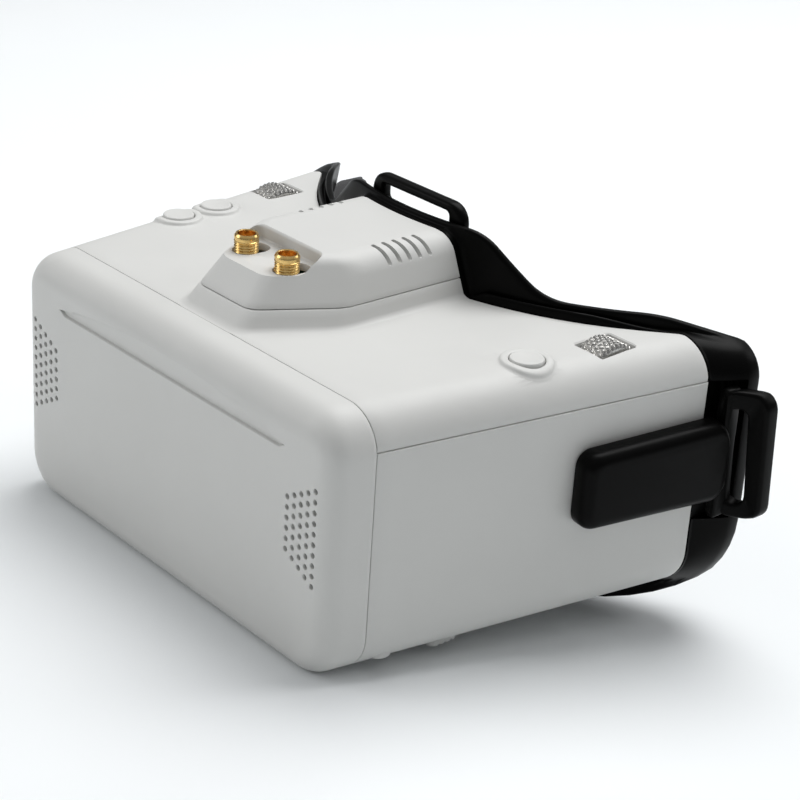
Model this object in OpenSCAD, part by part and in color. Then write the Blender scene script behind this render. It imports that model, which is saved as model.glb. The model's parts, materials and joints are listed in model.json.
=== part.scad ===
// Box-type FPV goggles: light grey housing, black face frame, strap mounts, optics and controls.
// Millimetres. +X is the wearer's left, -Y is the front, +Z is up. Origin: bottom centre of the whole.
// Heights below are measured from a level plane just under the housing. The face frame reaches
// further down, so the whole is lifted until the frame's lower edge is at zero.

/* [Housing] */
// Width of the front face
front_w = 128.8; // [126:0.2:132]
// Outward flare of each side wall, in degrees
flare = 9.37; // [9:0.01:10]
// Depth from the front face to the rear edge of the side walls
housing_d = 106.5; // [104:0.5:108]
// Height from the underside to the top face
housing_h = 69.7; // [69:0.1:71]
// Height of the housing's underside above the level plane
ground_gap = 2.5; // [2.3:0.1:3]
// Wall thickness of the shells
wall = 2.2; // [1.8:0.1:2.4]
// Depth of the front cover, from the front face to its seam
cover_d = 11.8; // [11:0.1:12.5]
// Height of the seam between top and bottom shell
side_seam_z = 62.9; // [61:0.1:64]
// Gap left open at each seam
seam_gap = 0.2; // [0.1:0.05:0.3]
// Edge radius between side wall and top face
side_top_r = 10.5; // [9:0.5:11]
// Edge radius between side wall and underside
side_bottom_r = 12; // [10:0.5:13]
// Radius of the upright front corners
front_corner_r = 6.4; // [5:0.1:7]
// Radius of the front edge along the top
front_top_r = 7.5; // [6:0.5:8]
// Radius of the front edge along the underside
front_bottom_r = 6; // [5:0.5:7]

/* [Face side] */
// Radius of the brow curve in plan
brow_r = 92.6; // [90:0.1:95]
// Distance of the brow curve behind the origin, on the centre line
brow_y = 7; // [6:0.1:8]
// Angle of the straight flanks beside the brow curve
flank_angle = 44.6; // [44:0.1:45]
// Thickness of the face frame
frame_t = 4; // [3:0.1:4.5]
// Half width of the face frame
frame_half_w = 87; // [86.5:0.1:87.5]
// Rear edge of the face frame
frame_rear_y = 54.5; // [53:0.1:56]
// Height of the frame's web behind the hump
web_z = 89.4; // [89:0.1:90]
// Height of the frame's rim outside the hump
rim_z = 75.6; // [75:0.1:76]
// Distance of the frame's lower edge below the level plane
frame_drop = 7; // [5:0.5:8]
// Thickness of the face foam
foam_t = 10.6; // [9:0.1:12]
// Rear end of the face foam
foam_rear_y = 66; // [65:0.1:67]

/* [Hump] */
// Height of the parting line between top shell and module cover
hump_parting_z = 77; // [76:0.1:78]
// Height of the top of the hump
hump_top_z = 88; // [87.5:0.1:88.5]
// Half width of the hump at the top face
hump_half_w = 23.9; // [23:0.1:24.5]
// Inward lean of the hump's sides, per unit of height
hump_side_lean = 0.339; // [0.3:0.005:0.36]
// Front of the hump at the top face
hump_front_y = -53; // [-53.5:0.1:-52]
// Lean of the hump's front, per unit of height
hump_front_lean = 0.83; // [0.78:0.01:0.86]
// Floor of the antenna recess
recess_z = 84; // [83.5:0.1:84.5]
// Half width of the antenna recess
recess_half_w = 13.5; // [13:0.1:14]
// Back wall of the antenna recess
recess_back_y = -28; // [-28.5:0.1:-27.5]
// Ventilation slots on each side of the hump
vent_count = 5; // [3:1:6]

/* [Antenna connectors] */
// Half the distance between the two connectors
sma_x = 8.25; // [8:0.05:8.5]
// Distance of the connectors from the origin
sma_y = -35.8; // [-36:0.1:-35.5]
// Outer diameter of the connector thread
sma_thread_d = 6.35; // [6.3:0.01:6.4]
// Top of the connectors
sma_top_z = 88.45; // [88:0.05:89]

/* [Controls] */
// Radius of a push button
button_r = 4.3; // [4:0.1:4.4]
// Travel of a push button
button_travel = 0.8; // [0.5:0.1:0.8]
// Radius of a thumb wheel
wheel_r = 8.5; // [8.3:0.1:8.7]
// Width of a thumb wheel
wheel_w = 8.5; // [8:0.1:8.6]
// Height by which a thumb wheel stands out of the top face
wheel_proud = 1.4; // [1.2:0.1:2]
// Travel of a thumb wheel when it is pressed
wheel_travel = 0.6; // [0.4:0.1:0.6]
// Travel of the focus slide to each side
focus_travel = 4; // [3:0.5:4]

/* [Straps] */
// Gap between a strap arm and the side wall
arm_gap = 0.3; // [0.2:0.1:0.4]
// Distance of the arm's outer face from the side wall
arm_off = 6.3; // [6:0.1:6.5]
// Height of a strap arm
arm_h = 20.5; // [19:0.5:21.5]
// Outermost half width, over the strap rings
ring_half_w = 95.5; // [95:0.1:96]
// Top of the top strap loop
loop_top_z = 93.9; // [93.5:0.1:94.5]

/* [Hidden] */
$fn = 48;

shell_color = [0.80, 0.80, 0.78];
black_color = [0.08, 0.08, 0.08];
gold_color = [0.80, 0.62, 0.28];
steel_color = [0.62, 0.63, 0.65];
board_color = [0.10, 0.32, 0.18];

front_y = -66;
rear_y = front_y + housing_d;
seam_y = front_y + cover_d;
bottom_z = ground_gap;
top_z = bottom_z + housing_h;
far = 200;
facets_per_corner = 6;
brow_facets = 20;
screw_r = 1.25;
screw_head_r = 2.2;
screw_fit = 0.03;
board_t = 1.6;

// ---- Outlines -------------------------------------------------------------------------------

function unit(v) = v / norm(v);

function turned(v, a) = [v.x * cos(a) - v.y * sin(a), v.x * sin(a) + v.y * cos(a)];

// Points of the arc that rounds corner p, between neighbours a and b, to radius r in n steps
function corner_arc(a, p, b, r, n) = r == 0 ? [p] :
    let (u = unit(a - p), v = unit(b - p), half = acos(u * v) / 2)
    let (centre = p + unit(u + v) * r / sin(half), start = p + u * r / tan(half) - centre)
    let (sweep = (cross(u, v) > 0 ? -1 : 1) * (180 - 2 * half))
    [for (k = [0:n]) centre + turned(start, sweep * k / n)];

// A closed outline from corners given as [x, y, radius]
function rounded(c, n = facets_per_corner) = [for (i = [0:len(c) - 1])
    let (p = c[i], a = c[(i + len(c) - 1) % len(c)], b = c[(i + 1) % len(c)])
    each corner_arc([a.x, a.y], [p.x, p.y], [b.x, b.y], p.z, n)];

// A list of right-hand corners, followed by the same corners on the left
function both_sides(c) = concat(c, [for (i = [len(c) - 1:-1:0]) [-c[i].x, c[i].y, c[i].z]]);

// Corners of a rectangle from (x0, y0) to (x1, y1), all with radius r
function rect(x0, y0, x1, y1, r) = [[x1, y1, r], [x1, y0, r], [x0, y0, r], [x0, y1, r]];

// Distance of the side wall's outer face from the centre line at depth y
function side_x(y) = front_w / 2 + tan(flare) * (y - front_y);

// Distance along the side wall, from its front, of the point at depth y
function along_wall(y) = (y - front_y) / cos(flare);

// ---- Placing helpers ------------------------------------------------------------------------

// Extrudes an XZ outline from y0 to y1
module along_y(y0, y1) {
    translate([0, y1, 0]) rotate([90, 0, 0]) linear_extrude(y1 - y0) children();
}

// Extrudes a YZ outline from x0 to x1
module along_x(x0, x1) {
    translate([x0, 0, 0]) rotate([90, 0, 90]) linear_extrude(x1 - x0) children();
}

module block(low, high) {
    translate(low) cube(high - low);
}

module rod_y(x, z, r, y0, y1) {
    translate([x, y1, z]) rotate([90, 0, 0]) cylinder(r = r, h = y1 - y0);
}

module rod_x(y, z, r, x0, x1) {
    translate([x0, y, z]) rotate([0, 90, 0]) cylinder(r = r, h = x1 - x0);
}

module rod_z(x, y, r, z0, z1) {
    translate([x, y, z0]) cylinder(r = r, h = z1 - z0);
}

module on_both_sides() {
    children();
    mirror([1, 0, 0]) children();
}

// The left side wall's own frame: x = 0 on its outer face, y along it from the front, z up
module on_side_wall() {
    translate([front_w / 2, front_y, 0]) rotate([0, 0, -flare]) children();
}

// A screw with its head's underside at the origin, its shaft towards -Z and a socket in its head
module screw(length) {
    difference() {
        union() {
            cylinder(r = screw_head_r, h = 1.4);
            translate([0, 0, -length]) cylinder(r = screw_r - screw_fit, h = length + 0.1);
        }
        translate([0, 0, 0.6]) cylinder(r = 1.15, h = 2, $fn = 6);
    }
}

// ---- Main forms -----------------------------------------------------------------------------

// The space inside one flared side wall, below the top face and above the underside
module side_form(inset) {
    z0 = bottom_z + inset;
    z1 = top_z - inset;
    on_side_wall() along_y(-30, 140)
        polygon(rounded([[-inset, z1, side_top_r - inset], [-inset, z0, side_bottom_r - inset],
            [-far, z0, 0], [-far, z1, 0]]));
}

// The housing's outer form, or the same form moved inwards by inset. It is open to the rear.
module housing_form(inset) {
    y0 = front_y + inset;
    x0 = front_w / 2 - inset / cos(flare) + tan(flare) * inset;
    spread = tan(flare) * 140;
    intersection() {
        side_form(inset);
        mirror([1, 0, 0]) side_form(inset);
        along_x(-far, far)
            polygon(rounded([[y0, top_z - inset, front_top_r - inset], [y0, bottom_z + inset,
                front_bottom_r - inset], [far, bottom_z + inset, 0], [far, top_z - inset, 0]]));
        linear_extrude(far)
            polygon(rounded([[x0, y0, front_corner_r - inset], [-x0, y0, front_corner_r - inset],
                [-x0 - spread, y0 + 140, 0], [x0 + spread, y0 + 140, 0]]));
    }
}

module housing_shell() {
    difference() {
        housing_form(0);
        housing_form(wall);
    }
}

// Plan of the space behind the face curve, moved back by shift at right angles to the curve
module face_plan(shift) {
    r = brow_r - shift;
    vertex_y = brow_y + brow_r - r / cos(flank_angle);
    span = 120;
    flank_y = vertex_y + span * tan(flank_angle);
    polygon(concat([[span, far], [-span, far], [-span, flank_y]],
        corner_arc([-span, flank_y], [0, vertex_y], [span, flank_y], r, brow_facets),
        [[span, flank_y]]));
}

module behind_face(shift) {
    translate([0, 0, -20]) linear_extrude(140) face_plan(shift);
}

// The slanted plane that cuts one front corner of the hump, as a solid behind it
module hump_corner_form(inset) {
    reach = 33.3 - 1.18 * inset;
    lean = 0.625;
    rotate([0, 0, -29.4]) along_y(-90, 90)
        polygon([[-90, 60], [reach + lean * 17, 60], [reach - lean * 18, 95], [-90, 95]]);
}

// The hump's outer form, or the same form moved inwards by inset
module hump_form(inset) {
    z0 = 68;
    z1 = hump_top_z - inset;
    side = function (z) hump_half_w - hump_side_lean * (z - top_z) - 1.06 * inset;
    front = function (z) hump_front_y + hump_front_lean * (z - top_z) + 1.3 * inset;
    intersection() {
        along_y(-70, 40)
            polygon(rounded(both_sides([[side(z1), z1, 7 - inset], [side(z0), z0, 0]])));
        along_x(-40, 40)
            polygon(rounded([[front(z0), z0, 0], [front(z1), z1, 4], [40, z1, 0], [40, z0, 0]]));
        hump_corner_form(inset);
        mirror([1, 0, 0]) hump_corner_form(inset);
    }
}

// Outline of the room for the nose, cut from below; grow widens it
module nose_outline(grow = 0) {
    polygon(rounded(both_sides([[13 + grow, 32 + grow, 9], [24 + grow, -10, 0]])));
}

// ---- Housing --------------------------------------------------------------------------------

mesh_columns = [[59.3, 10], [56.8, 9], [54.3, 8], [51.8, 7], [49.3, 6]];
mesh_pitch = 2.75;
mesh_z = 41.35;
mesh_hole_r = 0.7;
fan_x = 52;
fan_size = 20;
fan_front_y = -61.5;
fan_rear_y = -55;
main_board_y = -54.6;

module mesh_holes() {
    for (column = mesh_columns) {
        for (i = [0:column[1] - 1]) {
            rod_y(column[0], mesh_z + mesh_pitch * (i - (column[1] - 1) / 2), mesh_hole_r, front_y - 1, front_y + 4);
        }
    }
}

// The shallow slit below the top edge of the front face: flat below, arched above
module front_slit() {
    half_w = 47.5;
    low_z = 59.5;
    arch_r = 262;
    intersection() {
        rod_y(0, low_z + 5.7 - arch_r, arch_r, front_y - 1, front_y + 0.9);
        block([-half_w, front_y - 1, low_z], [half_w, front_y + 0.9, low_z + 8]);
    }
}

module front_cover() color(shell_color) {
    lip_gap = 0.2;
    lip_t = 1.4;
    lip_end_y = seam_y + 3;
    fan_room = fan_size / 2 + 0.3;
    difference() {
        union() {
            intersection() {
                housing_shell();
                block([-far, front_y - 1, 0], [far, seam_y - seam_gap / 2, far]);
            }
            intersection() {
                difference() {
                    housing_form(wall + lip_gap);
                    housing_form(wall + lip_gap + lip_t);
                }
                block([-far, seam_y - 4, 0], [far, lip_end_y, far]);
            }
            intersection() {
                difference() {
                    housing_form(wall - 0.5);
                    housing_form(wall + lip_gap + lip_t);
                }
                block([-far, seam_y - 5, 0], [far, seam_y - seam_gap / 2 - 0.5, far]);
            }
            // Standoffs for the fans and the main board
            for (side = [-1, 1], dx = [-1, 1], dz = [-1, 1]) {
                rod_y(side * fan_x + dx * 8.4, mesh_z + dz * 8.4, 1.2, front_y + 1.5, fan_front_y);
                rod_y(side * 36, 40 + dz * 20, 1.8, front_y + 1.5, main_board_y);
            }
        }
        on_both_sides() {
            mesh_holes();
            block([fan_x - fan_room, fan_front_y, mesh_z - fan_room],
                [fan_x + fan_room, lip_end_y + 1, mesh_z + fan_room]);
        }
        front_slit();
    }
}

post_front = [62.3, -47];
post_rear = [71, 30];
post_split_z = 50;

module at_posts() {
    for (side = [-1, 1], p = [post_front, post_rear]) {
        translate([side * p.x, p.y, 0]) children();
    }
}

button_left_at = [62.7, -5.05];
button_right_rear_at = [-62.7, -5.05];
button_right_front_at = [-61.8, -18.4];
buttons_at = [button_left_at, button_right_rear_at, button_right_front_at];
wheel_x = 65.9;
wheel_y = 18.7;
wheel_z = top_z + wheel_proud - wheel_r;
button_gap = 0.2;
button_ring_r = 6.5;
button_top_z = top_z + 1.3;
shell_top_inside_z = top_z - wall;

module top_shell() color(shell_color) difference() {
    union() {
        intersection() {
            housing_shell();
            block([-far, seam_y + seam_gap / 2, side_seam_z + seam_gap / 2], [far, rear_y, far]);
        }
        intersection() {
            hump_form(0);
            block([-40, -70, top_z - 1], [40, 60, hump_parting_z - seam_gap / 2]);
        }
        for (p = buttons_at) {
            rod_z(p.x, p.y, button_ring_r, top_z - wall, top_z + 1);
        }
        intersection() {
            housing_form(wall / 2);
            at_posts() rod_z(0, 0, 3.2, side_seam_z + 1, top_z);
        }
        intersection() {
            housing_form(wall + 0.3);
            at_posts() rod_z(0, 0, 3.2, post_split_z + seam_gap, side_seam_z + 1.1);
        }
        // Posts that carry the switch boards
        on_both_sides() {
            rod_z(60.5, 5, 1.8, switch_board_z + board_t, top_z - 1);
            rod_z(60.5, 26.3, 1.8, switch_board_z + board_t, top_z - 1);
        }
    }
    intersection() {
        hump_form(wall);
        block([-40, -70, top_z], [40, 60, far]);
    }
    // Opening below the receiver module
    block([-14, -33, 60], [14, 0, 80]);
    for (p = buttons_at) {
        rod_z(p.x, p.y, button_r + button_gap, 60, 80);
        rod_z(p.x, p.y, 5.3, 60, shell_top_inside_z);
    }
    on_both_sides() {
        block([wheel_x - 4.75, wheel_y - 6.2, 66], [wheel_x + 4.75, wheel_y + 6.2, 80]);
        rod_x(wheel_y, wheel_z, wheel_r + 0.5, wheel_x - 4.75, wheel_x + 4.75);
    }
    at_posts() rod_z(0, 0, screw_r, post_split_z - 1, post_split_z + 11);
    behind_face(0);
}

arm_low_z = 31.7;
arm_mid_z = arm_low_z + arm_h / 2;
arm_s0 = along_wall(1.4);
arm_s1 = along_wall(44);
arm_screw_s = [along_wall(8), along_wall(25)];
frame_screw_x = 75.5;
frame_screw_z = [20, 57];
knob_x = 59.5;
knob_y = -24.5;
dc_at = [along_wall(-35), 28];
av_at = [along_wall(-24), 28];
hdmi_at = [along_wall(-13), 21];
card_at = [along_wall(-30), 44];

module bottom_shell() color(shell_color) difference() {
    union() {
        intersection() {
            housing_shell();
            block([-far, seam_y + seam_gap / 2, 0], [far, rear_y, side_seam_z - seam_gap / 2]);
        }
        intersection() {
            housing_form(wall / 2);
            at_posts() rod_z(0, 0, 3.4, bottom_z, post_split_z);
        }
        // Bosses for the screws that hold the face frame
        for (side = [-1, 1], z = frame_screw_z) {
            rod_y(side * frame_screw_x, z, 3.2, rear_y - 12, rear_y);
            block([side > 0 ? frame_screw_x : -frame_screw_x - 3.2, rear_y - 12, z - 1],
                [side > 0 ? frame_screw_x + 3.2 : -frame_screw_x, rear_y, z + 1]);
        }
    }
    // Room for the top shell's posts, screw tunnels from below, and the clearance holes above them
    at_posts() {
        rod_z(0, 0, 3.5, post_split_z, side_seam_z + 1);
        rod_z(0, 0, 2.5, 0, post_split_z - 6);
        rod_z(0, 0, screw_r + 0.1, 0, post_split_z + 1);
    }
    for (side = [-1, 1]) {
        for (z = frame_screw_z) {
            rod_y(side * frame_screw_x, z, screw_r, rear_y - 11, rear_y + 1);
        }
        block([side * (knob_x - 0.5) - 1.5, knob_y - 1.8 - focus_travel, 0],
            [side * (knob_x - 0.5) + 1.5, knob_y + 1.8 + focus_travel, 8]);
    }
    on_both_sides() on_side_wall() {
        for (s = arm_screw_s) {
            rod_x(s, arm_mid_z, screw_r + 0.1, -4, 1);
        }
    }
    mirror([1, 0, 0]) on_side_wall() {
        rod_x(dc_at[0], dc_at[1], 4.15, -4, 1);
        rod_x(av_at[0], av_at[1], 3.05, -4, 1);
        block([-4, hdmi_at[0] - 8.1, hdmi_at[1] - 3.4], [1, hdmi_at[0] + 8.1, hdmi_at[1] + 3.4]);
        block([-4, card_at[0] - 7.2, card_at[1] - 1.5], [1, card_at[0] + 7.2, card_at[1] + 1.5]);
    }
    behind_face(0);
    along_y(2.5, 60) nose_outline();
}

vent_first_y = -13.6;
vent_pitch = 3.32;
vent_w = 1.3;

module recess_plan(grow) {
    x1 = recess_half_w + grow;
    y1 = recess_back_y + grow;
    polygon(rounded(both_sides([[x1, y1, 3 + grow], [x1, -70, 0]])));
}

// The hole behind each connector, long enough for its cable elbow
module sma_hole() {
    hole_end_y = sma_y + 3;
    hole_r = 3.5;
    rod_z(sma_x, sma_y, hole_r, recess_z - 6, recess_z + 6);
    rod_z(sma_x, hole_end_y, hole_r, recess_z - 6, recess_z + 6);
    block([sma_x - hole_r, sma_y, recess_z - 6], [sma_x + hole_r, hole_end_y, recess_z + 6]);
}

module module_cover() color(shell_color) {
    cover_t = 2;
    difference() {
        intersection() {
            hump_form(0);
            block([-40, -70, hump_parting_z + seam_gap / 2], [40, 60, far]);
        }
        difference() {
            hump_form(cover_t);
            translate([0, 0, recess_z - cover_t]) linear_extrude(20) recess_plan(cover_t);
        }
        translate([0, 0, recess_z]) linear_extrude(20) recess_plan(0);
        on_both_sides() {
            sma_hole();
            for (i = [0:vent_count - 1]) {
                translate([13.8, vent_first_y + vent_pitch * i, 84.4]) rotate([0, 0, 14])
                    translate([0, -vent_w / 2, 0]) cube([9, vent_w, 8]);
            }
        }
        behind_face(0);
    }
}

// ---- Face side ------------------------------------------------------------------------------

flank_front_y = rear_y + 0.3;
notch_z = [24, 63];

module frame_outline() {
    polygon(rounded(both_sides([[25.5, web_z, 13], [42, rim_z, 15], [65, rim_z, 24],
        [frame_half_w, rim_z - 7.2, 9], [frame_half_w, -frame_drop, 30], [25, -frame_drop, 5],
        [13, 32, 9]])));
}

module eye_outline(grow = 0) {
    polygon(rounded(both_sides([[54 + grow, 60 + grow, 12], [54 + grow, 17 - grow, 10],
        [33 - grow, 17 - grow, 8], [22 - grow, 43, 9]])));
}

// Plan of the frame: a curved wall, and a rim that flares out behind the side walls
module frame_plan() {
    flare_x = 82.6;
    flare_y = 47;
    difference() {
        intersection() {
            polygon([for (sx = [1, -1]) each sx > 0
                ? [[flare_x, 0], [flare_x, flank_front_y], [frame_half_w, flare_y], [frame_half_w, frame_rear_y]]
                : [[-frame_half_w, frame_rear_y], [-frame_half_w, flare_y], [-flare_x, flank_front_y], [-flare_x, 0]]]);
            union() {
                face_plan(0.3);
                translate([-far, flank_front_y]) square([2 * far, 60]);
            }
        }
        face_plan(0.3 + frame_t);
    }
}

module face_frame() color(black_color) difference() {
    intersection() {
        along_y(0, 70) frame_outline();
        translate([0, 0, -20]) linear_extrude(140) frame_plan();
    }
    along_y(0, 70) eye_outline();
    // Room for the strap arms in the outer flange
    on_both_sides() {
        block([83, 30, notch_z[0]], [100, 50, notch_z[1]]);
        block([81.6, 30, notch_z[0]], [84, 48.4, notch_z[1]]);
    }
    for (side = [-1, 1], z = frame_screw_z) {
        rod_y(side * frame_screw_x, z, screw_r + 0.1, 30, 60);
        rod_y(side * frame_screw_x, z, screw_head_r + 0.2, flank_front_y + 3.2, 60);
    }
    for (side = [-1, 1]) {
        rod_y(side * 14, 83.5, screw_r, 9, 20);
    }
}

module face_foam() color([0.12, 0.12, 0.13]) {
    front_shift = 0.4 + frame_t;
    difference() {
        intersection() {
            along_y(0, 80)
                polygon(rounded(both_sides([[22, 79.5, 12], [39, 70, 12], [81.5, 70, 9],
                    [81.5, -1.5, 25], [28.5, -1.5, 4], [16, 35, 9]])));
            translate([0, 0, -20]) linear_extrude(140) difference() {
                face_plan(front_shift);
                face_plan(front_shift + foam_t);
            }
            // The rear is cut off square, and slanted at the temples
            translate([0, 0, -20]) linear_extrude(120)
                polygon([[82, 0], [82, 58.3], [74, foam_rear_y], [-74, foam_rear_y], [-82, 58.3], [-82, 0]]);
        }
        along_y(0, 80) eye_outline(1);
    }
}

eyebox_half_w = 56.8;
eyebox_front_y = -1.5;
optic_z = 40;

// The tub behind the lens: a bulkhead with the lens window, and walls back to the face frame
module eyebox() color(black_color) {
    plate_rear_y = 1;
    wall_t = 1.5;
    z0 = bottom_z + wall + 0.2;
    z1 = top_z - wall - 0.3;
    difference() {
        along_y(eyebox_front_y, 60) polygon(rounded(rect(-eyebox_half_w, z0, eyebox_half_w, z1, 2)));
        along_y(plate_rear_y, 70)
            polygon(rounded(both_sides([[eyebox_half_w - wall_t, z1 - wall_t, 10],
                [eyebox_half_w - wall_t, z0 + 3, 8], [31, z0 + 3, 8], [20, 40, 9]])));
        along_y(-5, 5) polygon(rounded(rect(-50, optic_z - 23, 50, optic_z + 24, 8)));
        along_y(2.5, 70) nose_outline();
        behind_face(0);
    }
}

// A flat lens plate, with a slightly raised field on the side of the display
module main_lens() color([0.55, 0.65, 0.70, 0.5]) {
    lens_rear_y = eyebox_front_y - 0.1;
    along_y(lens_rear_y - 1.8, lens_rear_y)
        polygon(rounded(rect(-54, optic_z - 27, 54, optic_z + 27, 4)));
    along_y(lens_rear_y - 2.4, lens_rear_y - 1.7)
        polygon(rounded(rect(-51, optic_z - 24, 51, optic_z + 24, 4)));
}

hood_front_y = -32;

module light_hood() color(black_color) {
    along_y(hood_front_y, eyebox_front_y - 0.1) difference() {
        polygon(rounded(rect(-56.5, optic_z - 29.8, 56.5, optic_z + 29.8, 3)));
        polygon(rounded(rect(-55, optic_z - 28.3, 55, optic_z + 28.3, 2)));
    }
}

// ---- Display slide --------------------------------------------------------------------------

tray_front_y = -44.5;
lcd_half_w = 52;
lcd_half_h = 27.3;

module lcd_tray() color(black_color) difference() {
    union() {
        along_y(tray_front_y, hood_front_y + 6)
            polygon(rounded(rect(-54.4, optic_z - 27.8, 54.4, optic_z + 27.8, 2)));
        // Arms that reach forward and down to the two focus knobs
        on_both_sides() {
            block([53, tray_front_y - 1.5, 8], [58, -36.7, 16]);
            block([57.2, -38, 7], [knob_x + 0.3, knob_y + 3, 13]);
        }
    }
    along_y(tray_front_y + 1.5, -20) polygon(rounded(rect(-52.9, optic_z - 26.3, 52.9, optic_z + 26.3, 2)));
    along_y(tray_front_y - 3, -20) polygon(rounded(rect(-46, optic_z - 25.5, 46, optic_z + 25.5, 1)));
    block([-53, tray_front_y - 4, 5], [53, tray_front_y, 75]);
}

module lcd_panel() color([0.05, 0.06, 0.08]) {
    along_y(tray_front_y - 2.7, tray_front_y - 0.1)
        polygon(rounded(rect(-lcd_half_w, optic_z - lcd_half_h, lcd_half_w, optic_z + lcd_half_h, 1)));
}

// Cap below the underside, with a stem that passes the slot and meets the tray's arm
module focus_knob() {
    cap_z = [0.7, bottom_z - 0.3];
    difference() {
        union() {
            translate([0, 0, cap_z[0]]) linear_extrude(cap_z[1] - cap_z[0])
                polygon(rounded(rect(knob_x - 3, knob_y - 4.5, knob_x + 3, knob_y + 4.5, 2)));
            block([knob_x - 1.7, knob_y - 1.4, cap_z[0] + 0.5], [knob_x + 0.3, knob_y + 1.4, 6.95]);
        }
        for (i = [-1:1]) {
            block([knob_x - 5, knob_y + 2 * i - 0.3, 0], [knob_x + 5, knob_y + 2 * i + 0.3, cap_z[0] + 0.4]);
        }
    }
}

module focus_knob_left() color(shell_color) focus_knob();

module focus_knob_right() color(shell_color) mirror([1, 0, 0]) focus_knob();

// ---- Electronics ----------------------------------------------------------------------------

module main_board() color(board_color) {
    difference() {
        block([-40, main_board_y + 0.05, 16], [40, main_board_y + board_t, 64]);
        for (side = [-1, 1], dz = [-1, 1]) {
            rod_y(side * 36, 40 + dz * 20, 0.9, main_board_y - 1, main_board_y + 3);
        }
    }
    block([-9, main_board_y - 1.6, 33], [9, main_board_y + 0.1, 51]);
    block([-28, main_board_y - 1.4, 26], [-16, main_board_y + 0.1, 36]);
    block([16, main_board_y - 2.6, 24], [28, main_board_y + 0.1, 34]);
}

receiver_z = top_z + 0.4;

module receiver_module() color(board_color) {
    block([-15.5, -40, receiver_z], [15.5, 3, receiver_z + board_t]);
    block([-13, -24, receiver_z + board_t - 0.1], [13, 0, receiver_z + board_t + 5]);
    for (side = [-1, 1]) {
        block([side * sma_x - 3.8, sma_y - 3.8, receiver_z + board_t - 0.1],
            [side * sma_x + 3.8, sma_y + 3.8, receiver_z + board_t + 1.4]);
    }
}

sma_base_z = receiver_z + board_t + 1.45;
sma_thread_z = recess_z + 0.3;

module sma_connector() {
    r = sma_thread_d / 2;
    bore_r = 2.3;
    translate([sma_x, sma_y, 0]) rotate_extrude()
        polygon([[0, sma_base_z], [3.6, sma_base_z], [3.6, sma_base_z + 1.6], [3, sma_base_z + 1.6],
            [3, sma_thread_z], [r, sma_thread_z], [r, sma_top_z - 1.05], [2.95, sma_top_z - 0.9],
            [2.95, sma_top_z - 0.35], [2.6, sma_top_z], [bore_r, sma_top_z], [bore_r, sma_base_z + 1.8],
            [0, sma_base_z + 1.8]]);
}

module sma_connector_left() color(gold_color) sma_connector();

module sma_connector_right() color(gold_color) mirror([1, 0, 0]) sma_connector();

module sma_insulators() color([0.75, 0.45, 0.18]) on_both_sides() difference() {
    rod_z(sma_x, sma_y, 2.27, sma_base_z + 1.83, sma_top_z - 2.1);
    rod_z(sma_x, sma_y, 0.7, sma_base_z, sma_top_z);
}

module sma_contacts() color(gold_color) on_both_sides() difference() {
    rod_z(sma_x, sma_y, 0.67, sma_base_z + 1.83, sma_top_z - 1.1);
    rod_z(sma_x, sma_y, 0.4, sma_top_z - 4, sma_top_z);
}

switch_board_z = 50;
switch_top_z = switch_board_z + board_t + 2.5;

// Board below the controls of one side, with a switch under each control
module switch_board(y0, switches) {
    block([57.5, y0, switch_board_z], [67.3, 28, switch_board_z + board_t]);
    for (p = switches) {
        block([p.x - 3, p.y - 3, switch_board_z + board_t - 0.1], [p.x + 3, p.y + 3, switch_top_z]);
    }
}

module switch_board_left() color(board_color) {
    switch_board(-12, [button_left_at, [64, wheel_y]]);
}

module switch_board_right() color(board_color) mirror([1, 0, 0]) {
    switch_board(-25, [[62.7, -5.05], [61.8, -18.4], [64, wheel_y]]);
}

// ---- Controls -------------------------------------------------------------------------------

// A capped disc in the shell's hole, a flange that keeps it in, and a stem down to its switch
module button(p) {
    flange_r = 4.9;
    flange_top_z = shell_top_inside_z - 0.1;
    stem_end_z = switch_top_z + button_travel + 0.05;
    translate([p.x, p.y, 0]) rotate_extrude()
        polygon([[0, stem_end_z], [1.5, stem_end_z], [1.5, flange_top_z - 1.2], [flange_r, flange_top_z - 1.2],
            [flange_r, flange_top_z], [button_r, flange_top_z], [button_r, button_top_z - 0.4],
            [button_r - 0.4, button_top_z], [0, button_top_z]]);
}

module button_left() color(shell_color) button(button_left_at);

module button_right_front() color(shell_color) button(button_right_front_at);

module button_right_rear() color(shell_color) button(button_right_rear_at);

axle_r = 1;
axle_fit = 0.05;

module wheel() color(steel_color) {
    half = wheel_w / 2;
    bevel = 0.5;
    translate([wheel_x, wheel_y, wheel_z]) rotate([0, 90, 0]) rotate_extrude()
        polygon([[axle_r + axle_fit, -half], [wheel_r - bevel, -half], [wheel_r, -half + bevel],
            [wheel_r, half - bevel], [wheel_r - bevel, half], [axle_r + axle_fit, half]]);
}

module wheel_left() wheel();

module wheel_right() mirror([1, 0, 0]) wheel();

cheek_gap = 0.35;
cheek_t = 1.1;

module wheel_axle() color(steel_color) {
    reach = wheel_w / 2 + cheek_gap + cheek_t;
    rod_x(wheel_y, wheel_z, axle_r, wheel_x - reach, wheel_x + reach);
}

module wheel_axle_left() wheel_axle();

module wheel_axle_right() mirror([1, 0, 0]) wheel_axle();

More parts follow.
